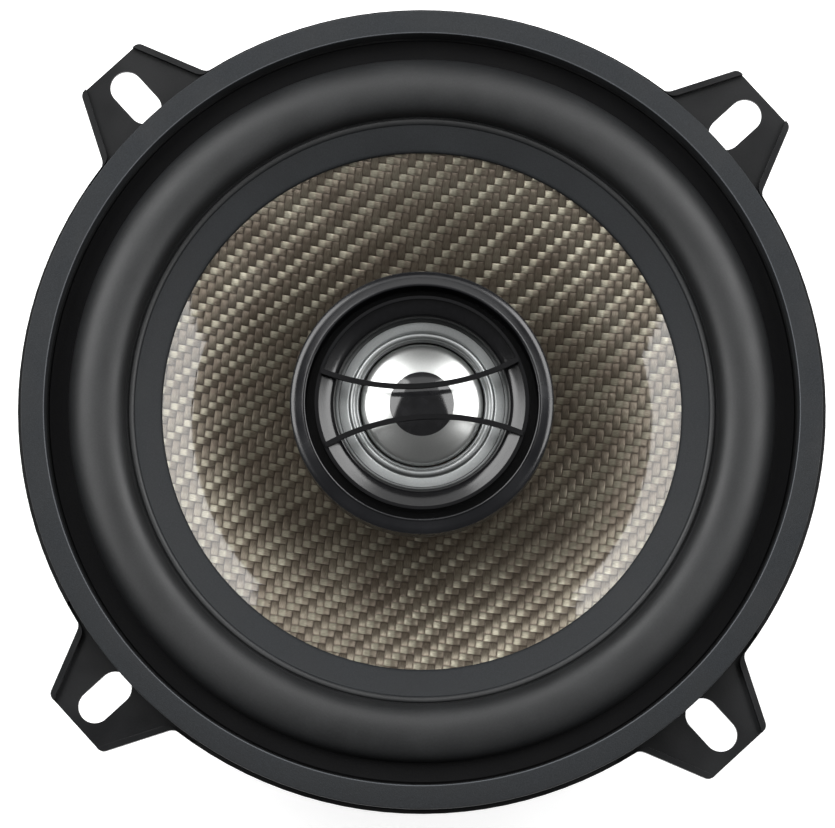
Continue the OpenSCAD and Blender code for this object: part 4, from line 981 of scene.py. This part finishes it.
smooth_wire("capacitor_wire_out", [from_block(*p) for p in out_route], 0.8, WIRE, "chassis",
            ["capacitor_lead_out"])
smooth_wire("splice_shrink", [from_block(*(SPLICE_START.lerp(SPLICE_END, k / 3))) for k in range(4)],
            2.2, SHRINK, "chassis", ["splice_sleeve"], roundness=4)

print("two tweeter wires, two capacitor wires and a sleeve")

# %% [markdown]
# ### Capacitor
# The capacitor is a drawn can in a plastic sleeve, rolled in near the end that carries its leads.
# It is turned like the round parts, about the upright axis, and then laid down in its cradle.

# %% Capacitor
NECK_AT, NECK_DEPTH = can_half - 2.2, 0.42
can_line = [(0, -can_half), (can_r - 1.2, -can_half), (can_r - 0.5, -can_half + 0.12),
            (can_r, -can_half + 0.6), (can_r, NECK_AT)]
can_line += [(can_r - NECK_DEPTH * math.sin(math.pi * k / 8), NECK_AT + 0.15 * k)
             for k in range(1, 9)]
can_line += [(can_r, can_half - 0.7), (can_r - 0.18, can_half - 0.25),
             (can_r - 0.6, can_half - 0.02), (can_r - 0.95, can_half - 0.04),
             (can_r - 1.05, can_half - 0.35), (0, can_half - 0.35)]
can = lathe("capacitor_can", can_line, CAN, "chassis", ["capacitor"], segments=64, closed=False)
can.data.transform(Matrix.Translation(can_centre * MM) @ Matrix.Rotation(math.pi / 2, 4, "X"))
print(f"capacitor {2 * can_r:.1f} by {2 * can_half:.1f} mm")

# %% [markdown]
# ## The rest of the assembly
# Frame, motor, terminals and the small parts inside keep their CAD meshes, which this script
# never edits. Their finish arrives by name. All the rest is done by modifiers, which work on a
# copy: one drops the stored shading and makes every face smooth, one joins the loose faces, one
# puts a small bevel on every sharp edge, and one keeps the corners that are left crisp. So the
# edges shown are rounder than the CAD's by the widths given here.

# %% Smooth shading as a modifier
shading = bpy.data.node_groups.new("smooth_shading", "GeometryNodeTree")
for way in ("INPUT", "OUTPUT"):
    shading.interface.new_socket("Geometry", in_out=way, socket_type="NodeSocketGeometry")
steps = [shading.nodes.new(kind) for kind in (
    "NodeGroupInput", "GeometryNodeRemoveAttribute", "GeometryNodeSetShadeSmooth", "NodeGroupOutput")]
steps[1].inputs["Name"].default_value = "custom_normal"
for before, after in zip(steps, steps[1:]):
    shading.links.new(before.outputs[0], after.inputs[0])

# %% Finish the CAD parts
EDGE = {"frame": 0.14, "magnet": 0.2, "top_plate": 0.25, "yoke": 0.25, "terminal_block": 0.2}
SMALL_EDGE = 0.1
for name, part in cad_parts.items():
    part.modifiers.new("shading", "NODES").node_group = shading
    weld = part.modifiers.new("weld", "WELD")
    weld.merge_threshold = 1e-6
    bevel = part.modifiers.new("bevel", "BEVEL")
    bevel.width = EDGE.get(name, SMALL_EDGE) * MM
    bevel.segments = 2
    bevel.limit_method = "ANGLE"
    bevel.angle_limit = math.radians(40)
    bevel.harden_normals = True
    split = part.modifiers.new("split", "EDGE_SPLIT")
    split.split_angle = math.radians(50)
print(len(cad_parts), "parts finished")
